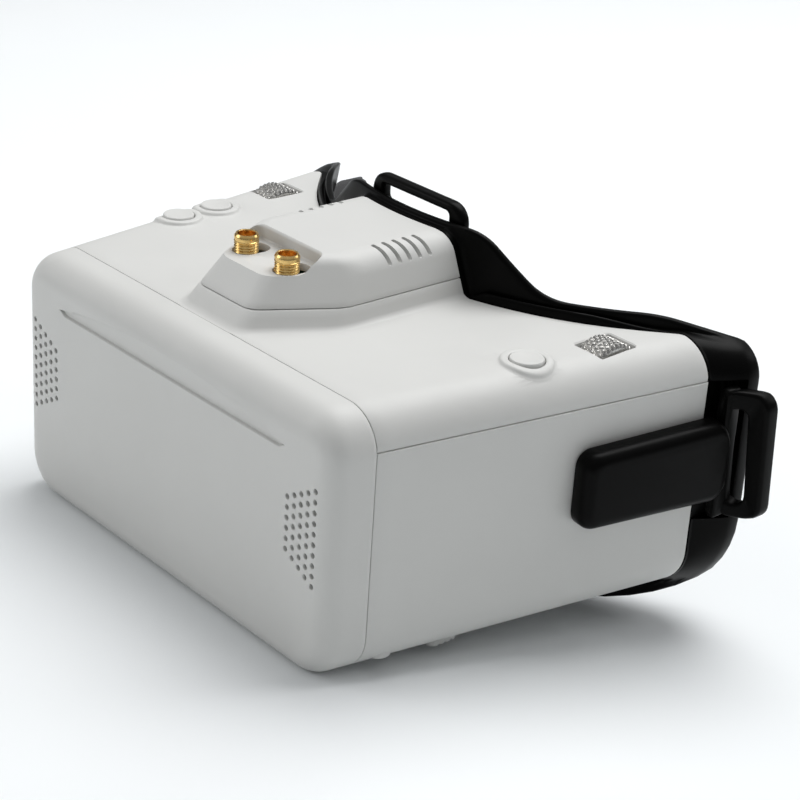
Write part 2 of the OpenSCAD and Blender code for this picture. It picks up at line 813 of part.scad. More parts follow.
// A fork that holds the axle; its base presses the switch when the wheel is pushed down
module wheel_carrier() color(black_color) {
    inner = wheel_w / 2 + cheek_gap;
    outer = inner + cheek_t;
    base_z = wheel_z - wheel_r - 0.5;
    difference() {
        union() {
            for (x0 = [wheel_x - outer, wheel_x + inner]) {
                block([x0, wheel_y - 3, base_z - 0.5], [x0 + cheek_t, wheel_y + 3, wheel_z + 2.4]);
            }
            block([wheel_x - outer, wheel_y - 3, base_z - 1.2], [wheel_x + outer, wheel_y + 3, base_z]);
            rod_z(64, wheel_y, 1.4, switch_top_z + wheel_travel + 0.05, base_z - 1);
        }
        rod_x(wheel_y, wheel_z, axle_r + 0.01, wheel_x - outer - 1, wheel_x + outer + 1);
    }
}

module wheel_carrier_left() wheel_carrier();

module wheel_carrier_right() mirror([1, 0, 0]) wheel_carrier();

// ---- Fans -----------------------------------------------------------------------------------

fan_bore_r = 9.5;
fan_hub_rear_y = fan_rear_y - 1.2;

module fan_frame() color(black_color) difference() {
    union() {
        difference() {
            block([fan_x - fan_size / 2, fan_front_y + 0.05, mesh_z - fan_size / 2],
                [fan_x + fan_size / 2, fan_rear_y, mesh_z + fan_size / 2]);
            rod_y(fan_x, mesh_z, fan_bore_r, fan_front_y - 1, fan_rear_y + 1);
        }
        rod_y(fan_x, mesh_z, 4.5, fan_hub_rear_y, fan_rear_y);
        for (a = [45:90:315]) {
            translate([fan_x, 0, mesh_z]) rotate([0, a, 0])
                block([4, fan_hub_rear_y, -0.7], [9.9, fan_rear_y, 0.7]);
        }
    }
    rod_y(fan_x, mesh_z, axle_r + axle_fit, fan_front_y - 1, fan_rear_y + 1);
}

module fan_frame_left() fan_frame();

module fan_frame_right() mirror([1, 0, 0]) fan_frame();

module fan_rotor() color(black_color) {
    hub_y = [fan_front_y + 0.5, fan_hub_rear_y - 0.4];
    blade_count = 7;
    rod_y(fan_x, mesh_z, 4.2, hub_y[0], hub_y[1]);
    rod_y(fan_x, mesh_z, axle_r, hub_y[1] - 0.1, fan_rear_y - 0.2);
    for (i = [0:blade_count - 1]) {
        translate([fan_x, (hub_y[0] + hub_y[1]) / 2, mesh_z]) rotate([0, 360 / blade_count * i, 0])
            rotate([40, 0, 0]) block([3.8, -0.4, -2.2], [8.9, 0.4, 2.2]);
    }
}

module fan_rotor_left() fan_rotor();

module fan_rotor_right() mirror([1, 0, 0]) fan_rotor();

// ---- Sockets on the right side wall ---------------------------------------------------------

module on_port_wall(at) {
    mirror([1, 0, 0]) on_side_wall() translate([0, at[0], at[1]]) children();
}

module dc_jack() color(black_color) on_port_wall(dc_at) {
    difference() {
        union() {
            block([-11, -4.7, -5.5], [-wall - 0.2, 4.7, 5.5]);
            rod_x(0, 0, 4.05, -3, -0.1);
        }
        rod_x(0, 0, 2.85, -9.5, 1);
    }
    rod_x(0, 0, 1, -10, -1.5);
}

module av_jack() color(black_color) on_port_wall(av_at) difference() {
    union() {
        block([-11.4, -3.4, -3.4], [-wall - 0.2, 3.4, 3.4]);
        rod_x(0, 0, 2.95, -3, -0.1);
    }
    rod_x(0, 0, 1.8, -10.1, 1);
}

module hdmi_socket() color(steel_color) on_port_wall(hdmi_at) {
    difference() {
        block([-11, -8, -3.3], [-0.3, 8, 3.3]);
        block([-9.6, -7.2, -2.4], [1, 7.2, 2.4]);
    }
    block([-10, -5.6, -0.7], [-1.6, 5.6, 0.7]);
}

module card_socket() color(steel_color) on_port_wall(card_at) difference() {
    block([-11, -7.1, -1.4], [-0.3, 7.1, 1.4]);
    block([-10.4, -5.8, -0.6], [1, 5.8, 0.8]);
}

// ---- Straps ---------------------------------------------------------------------------------

ring_outer_y = [50.4, 53.4];
ring_z = [25.5, 61.5];
ring_bar = 2.8;
ring_inner_x = [84, 87];

// Plan of the ring: its ends run out and back from the inner bar to the outer bar
module ring_plan() {
    bar_x = ring_half_w - ring_bar;
    polygon([[ring_inner_x[0], 43.2], [ring_inner_x[1], 45.8], [bar_x, ring_outer_y[0]],
        [ring_half_w, ring_outer_y[0]], [ring_half_w, ring_outer_y[1]], [bar_x - 0.3, ring_outer_y[1]],
        [ring_inner_x[1] + 0.3, 49.3], [ring_inner_x[0], 48]]);
}

// Leans the ring forward at its top
module ring_lean() {
    lean = 0.074;
    multmatrix([[1, 0, 0, 0], [0, 1, -lean, lean * ring_z[0]], [0, 0, 1, 0]]) children();
}

// A plate along the side wall; at its end a tall ring for the webbing, with its outer bar set back
module strap_arm() difference() {
    union() {
        on_side_wall() along_x(arm_gap, arm_off)
            polygon(rounded([[arm_s1, arm_low_z + arm_h + 1.3, 3.5], [arm_s1, arm_low_z - 0.7, 3.5],
                [arm_s0, arm_low_z, 3.5], [arm_s0, arm_low_z + arm_h, 3.5]]));
        along_y(43, 48)
            polygon(rounded(rect(ring_inner_x[0], ring_z[0], ring_inner_x[1], ring_z[1], 1)));
        ring_lean() intersection() {
            along_y(40, 60) difference() {
                polygon(rounded(rect(ring_inner_x[0], ring_z[0], ring_half_w, ring_z[1], 4)));
                polygon(rounded(rect(ring_inner_x[0] - 1, ring_z[0] + 4, ring_half_w - ring_bar,
                    ring_z[1] - 5, 2)));
            }
            linear_extrude(80) ring_plan();
        }
    }
    on_side_wall() for (s = arm_screw_s) {
        rod_x(s, arm_mid_z, screw_r, 0, 4.8);
    }
}

module strap_arm_left() color(black_color) strap_arm();

module strap_arm_right() color(black_color) mirror([1, 0, 0]) strap_arm();

module arm_screws() color(steel_color) on_both_sides() on_side_wall() {
    for (s = arm_screw_s) {
        translate([-wall - 0.05, s, arm_mid_z]) rotate([0, -90, 0]) screw(6.5);
    }
}

loop_half_w = 18;
loop_rear_y = 16.2;

module top_strap_loop() color(black_color) difference() {
    along_y(8, loop_rear_y) difference() {
        polygon(rounded(rect(-loop_half_w, 80, loop_half_w, loop_top_z, 4.5)));
        polygon(rounded(rect(-12, loop_top_z - 7, 12, loop_top_z - 2.5, 1.2)));
    }
    difference() {
        block([-40, 0, 60], [40, 40, 120]);
        behind_face(0.4 + frame_t);
    }
    for (side = [-1, 1]) {
        rod_y(side * 14, 83.5, screw_r + 0.1, 0, 30);
        rod_y(side * 14, 83.5, screw_head_r + 0.2, loop_rear_y - 1.6, 30);
    }
}

module loop_screws() color(steel_color) {
    for (side = [-1, 1]) {
        translate([side * 14, loop_rear_y - 1.55, 83.5]) rotate([-90, 0, 0]) screw(5.2);
    }
}

// ---- Fasteners ------------------------------------------------------------------------------

module housing_screws() color(steel_color) {
    at_posts() translate([0, 0, post_split_z - 6.05]) mirror([0, 0, 1]) screw(15);
}

module frame_screws() color(steel_color) {
    for (side = [-1, 1], z = frame_screw_z) {
        translate([side * frame_screw_x, flank_front_y + 3.25, z]) rotate([-90, 0, 0]) screw(12);
    }
}

// Lifts the whole until the face frame's lower edge is at zero
module lifted() {
    translate([0, 0, frame_drop]) children();
}

lifted() front_cover();
lifted() top_shell();
lifted() bottom_shell();
lifted() module_cover();
lifted() face_frame();
lifted() face_foam();
lifted() eyebox();
lifted() main_lens();
lifted() light_hood();
lifted() lcd_tray();
lifted() lcd_panel();
lifted() focus_knob_left();
lifted() focus_knob_right();
lifted() main_board();
lifted() receiver_module();
lifted() sma_connector_left();
lifted() sma_connector_right();
lifted() sma_insulators();
lifted() sma_contacts();
lifted() top_strap_loop();
lifted() loop_screws();
lifted() strap_arm_left();
lifted() strap_arm_right();
lifted() arm_screws();
lifted() wheel_left();
lifted() wheel_right();
lifted() wheel_axle_left();
lifted() wheel_axle_right();
lifted() wheel_carrier_left();
lifted() wheel_carrier_right();
lifted() button_left();
lifted() button_right_front();
lifted() button_right_rear();
lifted() switch_board_left();
lifted() switch_board_right();
lifted() fan_frame_left();
lifted() fan_frame_right();
lifted() fan_rotor_left();
lifted() fan_rotor_right();
lifted() dc_jack();
lifted() av_jack();
lifted() hdmi_socket();
lifted() card_socket();
lifted() housing_screws();
lifted() frame_screws();
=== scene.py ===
import json
from math import atan, cos, pi, radians, sin, sqrt, tan

import bpy
import numpy as np
from mathutils import Matrix, Vector

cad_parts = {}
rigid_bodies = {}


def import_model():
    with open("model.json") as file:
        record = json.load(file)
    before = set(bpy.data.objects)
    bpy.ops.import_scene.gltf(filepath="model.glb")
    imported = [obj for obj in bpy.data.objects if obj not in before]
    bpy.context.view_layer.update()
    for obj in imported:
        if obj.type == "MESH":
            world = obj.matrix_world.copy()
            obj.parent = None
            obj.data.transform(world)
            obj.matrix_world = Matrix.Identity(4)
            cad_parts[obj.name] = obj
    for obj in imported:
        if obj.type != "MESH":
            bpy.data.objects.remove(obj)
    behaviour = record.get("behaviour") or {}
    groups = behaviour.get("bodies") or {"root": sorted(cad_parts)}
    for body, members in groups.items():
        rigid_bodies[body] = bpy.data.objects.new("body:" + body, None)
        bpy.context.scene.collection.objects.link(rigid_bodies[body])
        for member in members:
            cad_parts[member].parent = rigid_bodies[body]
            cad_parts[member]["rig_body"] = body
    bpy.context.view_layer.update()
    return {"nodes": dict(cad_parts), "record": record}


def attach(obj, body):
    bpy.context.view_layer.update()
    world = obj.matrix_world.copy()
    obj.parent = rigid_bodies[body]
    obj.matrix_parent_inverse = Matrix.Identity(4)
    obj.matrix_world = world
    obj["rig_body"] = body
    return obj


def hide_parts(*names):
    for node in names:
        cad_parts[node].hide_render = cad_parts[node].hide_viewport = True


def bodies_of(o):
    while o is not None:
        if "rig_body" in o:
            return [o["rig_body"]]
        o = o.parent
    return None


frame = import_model()
NODES = frame["nodes"]

bl_info = {
    "name": "Video goggles builder",
    "version": (1, 0, 0),
    "blender": (4, 5, 0),
    "location": "3D View > Sidebar > Goggles",
    "description": "Builds the finished outer pieces of box-type video goggles around their packed frame",
    "category": "Add Mesh",
}

# ---- Sizes, in millimetres. Heights are measured from the level plane just under the housing. ------

MM = 0.001
LIFT = 7.0                       # the whole stands this much higher, so its lowest edge is at zero
FRONT_Y, SEAM_Y, REAR_Y = -66.0, -54.2, 40.5
FRONT_HALF_W = 64.4
FLARE = tan(radians(9.37))
BOTTOM_Z, TOP_Z, SIDE_SEAM_Z = 2.5, 72.2, 62.9
TOP_R, BOTTOM_R, FRONT_CORNER_R = 10.5, 12.0, 6.4
FRONT_TOP_R, FRONT_BOTTOM_R = 7.5, 6.0
WALL, GAP = 2.2, 0.2
BROW_R, BROW_Y, FLANK = 92.6, 7.0, radians(44.6)
HUMP_PARTING, HUMP_TOP = 77.0, 88.0
HUMP_HALF_W, HUMP_LEAN, HUMP_FRONT_Y, HUMP_FRONT_LEAN = 23.9, 0.339, -53.0, 0.83
DIAGONAL = (0.871, -0.4916, 33.3, 0.625)
RECESS_Z, RECESS_HALF_W, RECESS_BACK_Y = 84.0, 13.5, -28.0
SMA_X, SMA_Y, SMA_TOP = 8.25, -35.8, 88.45
BUTTONS = {"button_left": (62.7, -5.05), "button_right_rear": (-62.7, -5.05),
           "button_right_front": (-61.8, -18.4)}
WHEEL_X, WHEEL_Y, WHEEL_Z, WHEEL_R, WHEEL_W = 65.9, 18.7, 65.1, 8.5, 8.5
KNOB_X, KNOB_Y = 59.0, -24.5
SIDES = {"left": 1, "right": -1}


# ---- Properties that a user would change -----------------------------------------------------------

class GogglesSizes(bpy.types.PropertyGroup):
    mesh_hole: bpy.props.FloatProperty(
        name="Mesh hole radius", description="Radius of the air holes in the front face",
        default=0.0007, min=0.0005, max=0.0008, unit="LENGTH")
    lip_height: bpy.props.FloatProperty(
        name="Frame lip height", description="Height of the face frame's lip above the top face",
        default=0.0023, min=0.001, max=0.003, unit="LENGTH")
    knurl_depth: bpy.props.FloatProperty(
        name="Knurl depth", description="Depth of the thumb wheels' diamond knurl",
        default=0.00045, min=0.0002, max=0.0006, unit="LENGTH")
    foam_crown: bpy.props.FloatProperty(
        name="Foam crown", description="How much the face foam's middle stands above its edges",
        default=0.0012, min=0.0, max=0.002, unit="LENGTH")


class GogglesColours(bpy.types.PropertyGroup):
    shell: bpy.props.FloatVectorProperty(
        name="Housing", description="Colour of the light housing", subtype="COLOR",
        default=(0.63, 0.63, 0.612), min=0, max=1)
    black: bpy.props.FloatVectorProperty(
        name="Black plastic", description="Colour of the frame, arms and loop", subtype="COLOR",
        default=(0.0016, 0.0016, 0.0015), min=0, max=1)
    metal: bpy.props.FloatVectorProperty(
        name="Wheels", description="Colour of the knurled thumb wheels", subtype="COLOR",
        default=(0.56, 0.55, 0.53), min=0, max=1)
    gold: bpy.props.FloatVectorProperty(
        name="Antenna jacks", description="Colour of the antenna jacks", subtype="COLOR",
        default=(0.83, 0.57, 0.22), min=0, max=1)
    foam: bpy.props.FloatVectorProperty(
        name="Face foam", description="Colour of the face foam's cloth", subtype="COLOR",
        default=(0.020, 0.020, 0.022), min=0, max=1)


# ---- Outlines --------------------------------------------------------------------------------------

def unit(v):
    return v / np.linalg.norm(v)


def rounded(corners, steps=8, spread=1.5):
    """Closed outline through corners (a, b, radius): each corner is the arc that touches both its edges,
    and a corner of radius 0 becomes as many points in a row, so outlines with as many corners match."""
    parts = []
    for k, (a, b, r) in enumerate(corners):
        p = np.array([a, b], float)
        before = unit(np.array(corners[k - 1][:2], float) - p)
        after = unit(np.array(corners[(k + 1) % len(corners)][:2], float) - p)
        t = np.linspace(0, 1, steps + 1)[:, None]
        if r == 0:
            parts.append(p + (1 - t) * before * spread + t * after * spread)
            continue
        half = np.arccos(np.clip(before @ after, -1, 1)) / 2
        centre = p + unit(before + after) * r / sin(half)
        start = p + before * r / np.tan(half) - centre
        turn = (-1 if before[0] * after[1] - before[1] * after[0] > 0 else 1) * (pi - 2 * half) * t[:, 0]
        parts.append(centre + np.stack([start[0] * np.cos(turn) - start[1] * np.sin(turn),
                                        start[0] * np.sin(turn) + start[1] * np.cos(turn)], 1))
    return np.vstack(parts)


def both_sides(corners):
    return list(corners) + [(-a, b, r) for a, b, r in reversed(corners)]


def rectangle(a0, b0, a1, b1, r):
    return [(a1, b1, r), (a1, b0, r), (a0, b0, r), (a0, b1, r)]


def densify(loop, longest=3.0):
    """The same closed outline with its long straight stretches divided evenly."""
    following = np.roll(loop, -1, 0)
    count = np.maximum(1, np.ceil(np.linalg.norm(following - loop, axis=1) / longest)).astype(int)
    index = np.repeat(np.arange(len(loop)), count)
    step = (np.arange(len(index)) - np.repeat(np.cumsum(count) - count, count)) / count[index]
    return loop[index] + (following - loop)[index] * step[:, None]


def resampled(loop, count):
    """The same closed outline in count points, spaced evenly along it from its first point."""
    closed = np.vstack([loop, loop[:1]])
    length = np.concatenate([[0], np.cumsum(np.linalg.norm(np.diff(closed, axis=0), axis=1))])
    at = np.linspace(0, length[-1], count, endpoint=False)
    return np.stack([np.interp(at, length, closed[:, k]) for k in (0, 1)], 1)


def outward(loop):
    """Unit normals of a closed outline that point away from its inside."""
    along = np.roll(loop, -1, 0) - np.roll(loop, 1, 0)
    normal = np.stack([along[:, 1], -along[:, 0]], 1)
    following = np.roll(loop, -1, 0)
    area = np.sum(loop[:, 0] * following[:, 1] - loop[:, 1] * following[:, 0])
    return normal / np.linalg.norm(normal, axis=1, keepdims=True) * (1 if area > 0 else -1)


def face_y(x, shift=0.0):
    """Depth of the brow curve moved back by shift: an arc in the middle, straight tangents beside it."""
    r = BROW_R - shift
    x = np.abs(x)
    arc = BROW_Y + BROW_R - np.sqrt(np.maximum(r * r - x * x, 0))
    line = BROW_Y + BROW_R - r / cos(FLANK) + x * tan(FLANK)
    return np.where(x < r * sin(FLANK), arc, line)


def quarter(e, steps=4):
    """Pairs (along, inset) of a rounded edge of radius e, from the side to the face."""
    t = np.linspace(0, pi / 2, steps + 1)
    return [(e * sin(a), e * (1 - cos(a))) for a in t]


# ---- Making meshes ---------------------------------------------------------------------------------

def new_mesh(name, points, faces):
    """Mesh object in metres from points in millimetres; faces are arrays of quads or lists of corners."""
    mesh = bpy.data.meshes.new(name)
    points = (np.asarray(points, float).reshape(-1, 3) + (0, 0, LIFT)) * MM
    mesh.from_pydata(points, [], [f if isinstance(f, list) else f.tolist() for f in faces])
    mesh.update()
    made = bpy.data.objects.new(name, mesh)
    bpy.context.scene.collection.objects.link(made)
    return made


def quads(rows, columns, close_rows=False, close_columns=True):
    """Faces of a grid of rows x columns points, closed along either way on request."""
    i = np.arange(rows if close_rows else rows - 1)[:, None]
    j = np.arange(columns if close_columns else columns - 1)[None, :]
    i2, j2 = (i + 1) % rows, (j + 1) % columns
    i, j, i2, j2 = (np.broadcast_to(v, (i.shape[0], j.shape[1])) for v in (i, j, i2, j2))
    corner = lambda r, c: (r * columns + c).ravel()
    return np.stack([corner(i, j), corner(i, j2), corner(i2, j2), corner(i2, j)], 1)


def face_out(made):
    """Turns a closed mesh's faces outwards: its signed volume tells which way they point."""
    mesh = made.data
    mesh.calc_loop_triangles()
    co = np.empty(len(mesh.vertices) * 3)
    mesh.vertices.foreach_get("co", co)
    tri = np.empty(len(mesh.loop_triangles) * 3, int)
    mesh.loop_triangles.foreach_get("vertices", tri)
    a, b, c = co.reshape(-1, 3)[tri.reshape(-1, 3)].transpose(1, 0, 2)
    if np.sum(np.cross(a, b) * c) < 0:
        mesh.flip_normals()
    return made


def loft(name, rings, caps=True):
    """Closed solid through rings of equal length: a grid of rings by points, with a flat face on each end,
    or with the last ring joined to the first."""
    rings = np.asarray(rings, float)
    count, size = rings.shape[:2]
    faces = list(quads(count, size, close_rows=not caps))
    if caps:
        faces += [list(range(size))[::-1], list(range((count - 1) * size, count * size))]
    return face_out(new_mesh(name, rings, faces))


def combine(target, others, operation="DIFFERENCE"):
    """Boolean of target with each group of others, applied; the others are removed."""
    for other in others:
        m = target.modifiers.new("shape", "BOOLEAN")
        m.operation, m.object, m.solver = operation, other, "MANIFOLD"
        bpy.context.view_layer.update()
        result = bpy.data.meshes.new_from_object(target.evaluated_get(bpy.context.evaluated_depsgraph_get()))
        if len(result.vertices) == 0:
            m.solver = "EXACT"
            bpy.context.view_layer.update()
            result = bpy.data.meshes.new_from_object(
                target.evaluated_get(bpy.context.evaluated_depsgraph_get()))
        if len(result.vertices) == 0:
            raise RuntimeError(f"{target.name}: nothing is left after {other.name}")
        target.modifiers.clear()
        old, target.data = target.data, result
        bpy.data.meshes.remove(old)
        bpy.data.objects.remove(other)
    return target


def joined(name, parts):
    """One object from several that don't touch each other."""
    with bpy.context.temp_override(active_object=parts[0], selected_editable_objects=parts):
        bpy.ops.object.join()
    parts[0].name = name
    return parts[0]


def finish_piece(made, body, nodes, material, sharp=35):
    """Smooth shading with sharp creases, one material, a parent among the frame's bodies, and the imported
    pieces that it stands for hidden.
    """
    made.data.shade_smooth()
    made.data.set_sharp_from_angle(angle=radians(sharp))
    made.data.materials.clear()
    made.data.materials.append(material)
    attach(made, body)
    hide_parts(*nodes)
    return made


def body_of(node):
    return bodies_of(NODES[node])[0]


def disc_rod(x, y, z0, z1, r, steps=32):
    """Upright round rod of radius r from z0 to z1, for cutting."""
    t = np.linspace(0, 2 * pi, steps, endpoint=False)
    ring = np.stack([x + r * np.cos(t), y + r * np.sin(t)], 1)
    return loft("rod", [np.insert(ring, 2, z, axis=1) for z in (z0, z1)])


# ---- Materials -------------------------------------------------------------------------------------

class Shader:
    """A node material read in Object coordinates, with short calls for the nodes that it needs."""

    def __init__(self, name, **sockets):
        self.material = bpy.data.materials.new(name)
        self.material.use_nodes = True
        self.tree = self.material.node_tree
        self.bsdf = self.tree.nodes["Principled BSDF"]
        for socket, value in sockets.items():
            self.bsdf.inputs[socket.replace("_", " ")].default_value = value
        self.coords = self.node("ShaderNodeTexCoord").outputs["Object"]

    def node(self, kind, **values):
        made = self.tree.nodes.new(kind)
        for key, value in values.items():
            setattr(made, key, value)
        return made

    def link(self, a, b):
        self.tree.links.new(a, b)
        return b

    def noise(self, scale, detail=4.0, roughness=0.55):
        made = self.node("ShaderNodeTexNoise")
        made.inputs["Scale"].default_value = scale
        made.inputs["Detail"].default_value = detail
        made.inputs["Roughness"].default_value = roughness
        self.link(self.coords, made.inputs["Vector"])
        return made.outputs["Fac"]

    def spread(self, value, low, high, low_in=0.3, high_in=0.7):
        made = self.node("ShaderNodeMapRange")
        for key, number in (("From Min", low_in), ("From Max", high_in), ("To Min", low), ("To Max", high)):
            made.inputs[key].default_value = number
        self.link(value, made.inputs["Value"])
        return made.outputs["Result"]

    def tint(self, value, dark, light):
        made = self.node("ShaderNodeMix", data_type="RGBA")
        made.inputs[6].default_value = (*dark, 1)
        made.inputs[7].default_value = (*light, 1)
        self.link(value, made.inputs["Factor"])
        return made.outputs[2]

    def maths(self, operation, a, b):
        made = self.node("ShaderNodeMath", operation=operation)
        for socket, value in zip(made.inputs, (a, b)):
            if isinstance(value, (int, float)):
                socket.default_value = value
            else:
                self.link(value, socket)
        return made.outputs[0]

    def bump(self, height, strength, distance):
        made = self.node("ShaderNodeBump")
        made.inputs["Strength"].default_value = strength
        made.inputs["Distance"].default_value = distance
        self.link(height, made.inputs["Height"])
        self.link(made.outputs["Normal"], self.bsdf.inputs["Normal"])

    def colour(self, output):
        self.link(output, self.bsdf.inputs["Base Color"])

    def rough(self, output):
        self.link(output, self.bsdf.inputs["Roughness"])


def shades(colour, low, high):
    return [tuple(min(1.0, c * k) for c in colour) for k in (low, high)]


def moulded_plastic(name, colour, gloss, grain=2600, depth=0.00002, variation=0.035, specular=0.45):
    """Moulded plastic: fine even grain in the bump, a slow drift of shade and of gloss."""
    s = Shader(name, Specular_IOR_Level=specular)
    slow = s.noise(38, 3)
    s.colour(s.tint(s.spread(slow, 0, 1), *shades(colour, 1 - variation, 1 + variation)))
    s.rough(s.maths("ADD", s.spread(s.noise(120, 5), gloss - 0.04, gloss + 0.05),
                    s.maths("MULTIPLY", s.noise(grain * 0.6, 2), 0.04)))
    s.bump(s.noise(grain, 2, 0.5), 0.35, depth)
    return s.material


def turned_metal(name, colour, gloss):
    """Plated or turned metal: a fine grain in the bump and soft stains in its gloss."""
    s = Shader(name, Metallic=1.0)
    s.colour(s.tint(s.spread(s.noise(260, 4), 0, 1), *shades(colour, 0.86, 1.06)))
    s.rough(s.spread(s.noise(900, 4), gloss - 0.07, gloss + 0.1))
    s.bump(s.noise(5200, 2), 0.2, 0.000012)
    return s.material


def circuit_board(name):
    """Solder resist over copper: bands of tracks show through as a slightly raised, lighter green."""
    s = Shader(name, Specular_IOR_Level=0.55)
    wave = s.node("ShaderNodeTexWave")
    wave.inputs["Scale"].default_value = 190
    wave.inputs["Distortion"].default_value = 9
    s.link(s.coords, wave.inputs["Vector"])
    track = s.spread(wave.outputs["Fac"], 0, 1, 0.55, 0.62)
    s.colour(s.tint(track, (0.010, 0.075, 0.030), (0.022, 0.145, 0.060)))
    s.rough(s.spread(s.noise(300), 0.28, 0.42))
    s.bump(track, 0.4, 0.00004)
    return s.material


def woven_foam_cloth(name, colour):
    """Brushed knit over foam: a fine crossed weave, soft pile in the sheen, slow shade changes."""
    s = Shader(name, Sheen_Weight=0.35, Sheen_Roughness=0.5, Specular_IOR_Level=0.2)
    heights = []
    for direction in ("X", "Z"):
        wave = s.node("ShaderNodeTexWave", bands_direction=direction)
        wave.inputs["Scale"].default_value = 620
        wave.inputs["Distortion"].default_value = 1.2
        s.link(s.coords, wave.inputs["Vector"])
        heights.append(wave.outputs["Fac"])
    weave = s.maths("MULTIPLY", *heights)
    s.colour(s.tint(s.maths("MULTIPLY", weave, s.spread(s.noise(70), 0.6, 1)), *shades(colour, 0.7, 1.7)))
    s.rough(s.spread(s.noise(800), 0.85, 0.98))
    s.bump(s.maths("ADD", weave, s.noise(2400)), 0.6, 0.00012)
    return s.material


def clear_optic(name):
    """Clear acrylic with faint handling smears in its gloss."""
    s = Shader(name, Transmission_Weight=0.95, IOR=1.49, Base_Color=(0.93, 0.96, 0.97, 1))
    s.rough(s.spread(s.noise(60, 5), 0.02, 0.09))
    s.bump(s.noise(25), 0.04, 0.00002)
    return s.material


def display_glass(name):
    """Dark display glass: a faint drift of shade under a high gloss."""
    s = Shader(name, Specular_IOR_Level=0.6, Coat_Weight=0.4)
    s.colour(s.tint(s.spread(s.noise(45, 2), 0, 1), (0.006, 0.007, 0.010), (0.012, 0.014, 0.020)))
    s.rough(s.spread(s.noise(150, 4), 0.06, 0.16))
    s.bump(s.noise(3000, 1), 0.08, 0.00001)
    return s.material


def colours():
    return bpy.context.scene.goggles_colours


def shell_plastic():
    return bpy.data.materials.get("shell_plastic") or moulded_plastic(
        "shell_plastic", tuple(colours().shell), 0.46, 3200, 0.00003, 0.012)


def black_plastic():
    return bpy.data.materials.get("satin_black") or moulded_plastic(
        "satin_black", tuple(colours().black), 0.31, 2400, 0.00003, 0.08, 0.06)


def wheel_metal():
    return bpy.data.materials.get("bright_metal") or turned_metal(
        "bright_metal", tuple(colours().metal), 0.27)


def gold_plate():
    return bpy.data.materials.get("gold_finish") or turned_metal("gold_finish", tuple(colours().gold), 0.24)


def foam_cloth():
    return bpy.data.materials.get("foam_cloth") or woven_foam_cloth("foam_cloth", tuple(colours().foam))


# ---- Housing ---------------------------------------------------------------------------------------

def section():
    """Points round the housing's section at its front, their outward normals, and how much of the side
    walls' flare each takes: all of it on the sides and corners, a share that grows with x on the flats."""
    corners = [(FRONT_HALF_W, TOP_Z, TOP_R), (FRONT_HALF_W, BOTTOM_Z, BOTTOM_R),
               (-FRONT_HALF_W, BOTTOM_Z, BOTTOM_R), (-FRONT_HALF_W, TOP_Z, TOP_R)]
    loop = densify(rounded(corners, 14), 4.0)
    normal = outward(loop)
    normal = np.where(np.abs(normal) < 0.02, 0, normal)
    normal /= np.linalg.norm(normal, axis=1, keepdims=True)
    flat = FRONT_HALF_W - np.where(loop[:, 1] > 35, TOP_R, BOTTOM_R)
    share = np.clip(np.abs(loop[:, 0]) / flat, 0, 1) * np.sign(loop[:, 0])
    return loop, normal, share


def housing_ring(loop, normal, share, y, inset):
    """The section carried back to depth y, which may differ from point to point, and moved in by inset."""
    y = np.broadcast_to(y, len(loop))
    x = loop[:, 0] + share * FLARE * (y - FRONT_Y) - normal[:, 0] * inset
    return np.stack([x, y, loop[:, 1] - normal[:, 1] * inset], 1)


def front_rounding(normal):
    """Depths and insets of the rounded front edge. Its radius turns with the section's normal from the
    corner's to the top's or the bottom's, and its end is tangent to the flared wall."""
    a = np.arctan(FLARE * np.abs(normal[:, 0]))
    edge_r = np.where(normal[:, 1] > 0, FRONT_TOP_R, FRONT_BOTTOM_R)
    r = FRONT_CORNER_R * normal[:, 0] ** 2 + edge_r * normal[:, 1] ** 2
    stations = []
    for part in np.linspace(0, 1, 9):
        turn = part * (pi / 2 - a)
        depth = r * (1 - np.cos(turn))
        inset = r / np.cos(a) - r * np.tan(a) - r * np.sin(turn) + np.tan(a) * depth
        stations.append((FRONT_Y + depth, inset))
    return stations


def make_front_cover():
    """Loft of the section: flat front, rounded edge, wall, chamfered rim, lip, and the wall's inside."""
    loop, normal, share = section()
    ring = lambda y, inset: housing_ring(loop, normal, share, y, inset)
    outer = front_rounding(normal)
    stations = [(outer[0][0], outer[0][1] + d) for d in (1.2, 0.3)] + outer
    rim = SEAM_Y - GAP / 2
    lip = [(rim - 0.18, 0), (rim - 0.05, 0.06), (rim, 0.2), (rim, 2.4), (rim + 2.8, 2.4), (rim + 3, 2.6),
           (rim + 3, 3.7), (rim - 5, 3.8), (rim - 5, WALL)]
    y = np.linspace(FRONT_Y + 9, rim - 1, 3)
    inner = [(p[0] + WALL * (1 - k / 8), p[1] + WALL) for k, p in enumerate(outer)][::-1]
    rings = [ring(y_, d) for y_, d in stations + [(v, 0) for v in y] + lip + inner]
    cover = loft("front_cover_fine", rings)
    return combine(cover, [front_slit(), mesh_holes()])


def front_slit():
    """The shallow slit below the top edge: flat below, an arc above, with a soft bottom edge."""
    half_w, low, rise, arch_r = 47.5, 59.5, 5.7, 262.0
    x = np.linspace(half_w, -half_w, 41)
    top = low + rise - arch_r + np.sqrt(arch_r ** 2 - x ** 2)
    arch = np.stack([x, top], 1)
    base = np.stack([-x[1:-1], np.full(39, low)], 1)
    loop = np.vstack([arch, base])
    middle = np.array([0, low + 2.2])
    rings = []
    for y, grow in ((FRONT_Y - 1, 0.35), (FRONT_Y - 0.02, 0.28), (FRONT_Y + 0.12, 0.08), (FRONT_Y + 0.3, 0),
                    (FRONT_Y + 0.6, 0), (FRONT_Y + 0.85, -0.1), (FRONT_Y + 0.9, -0.3)):
        away = loop - middle
        moved = loop + np.stack([np.sign(away[:, 0]) * (np.abs(away[:, 0]) > half_w - 2) * grow,
                                 np.sign(away[:, 1]) * grow * 0.9], 1)
        rings.append(np.insert(moved, 1, y, axis=1))
    return loft("slit", rings)


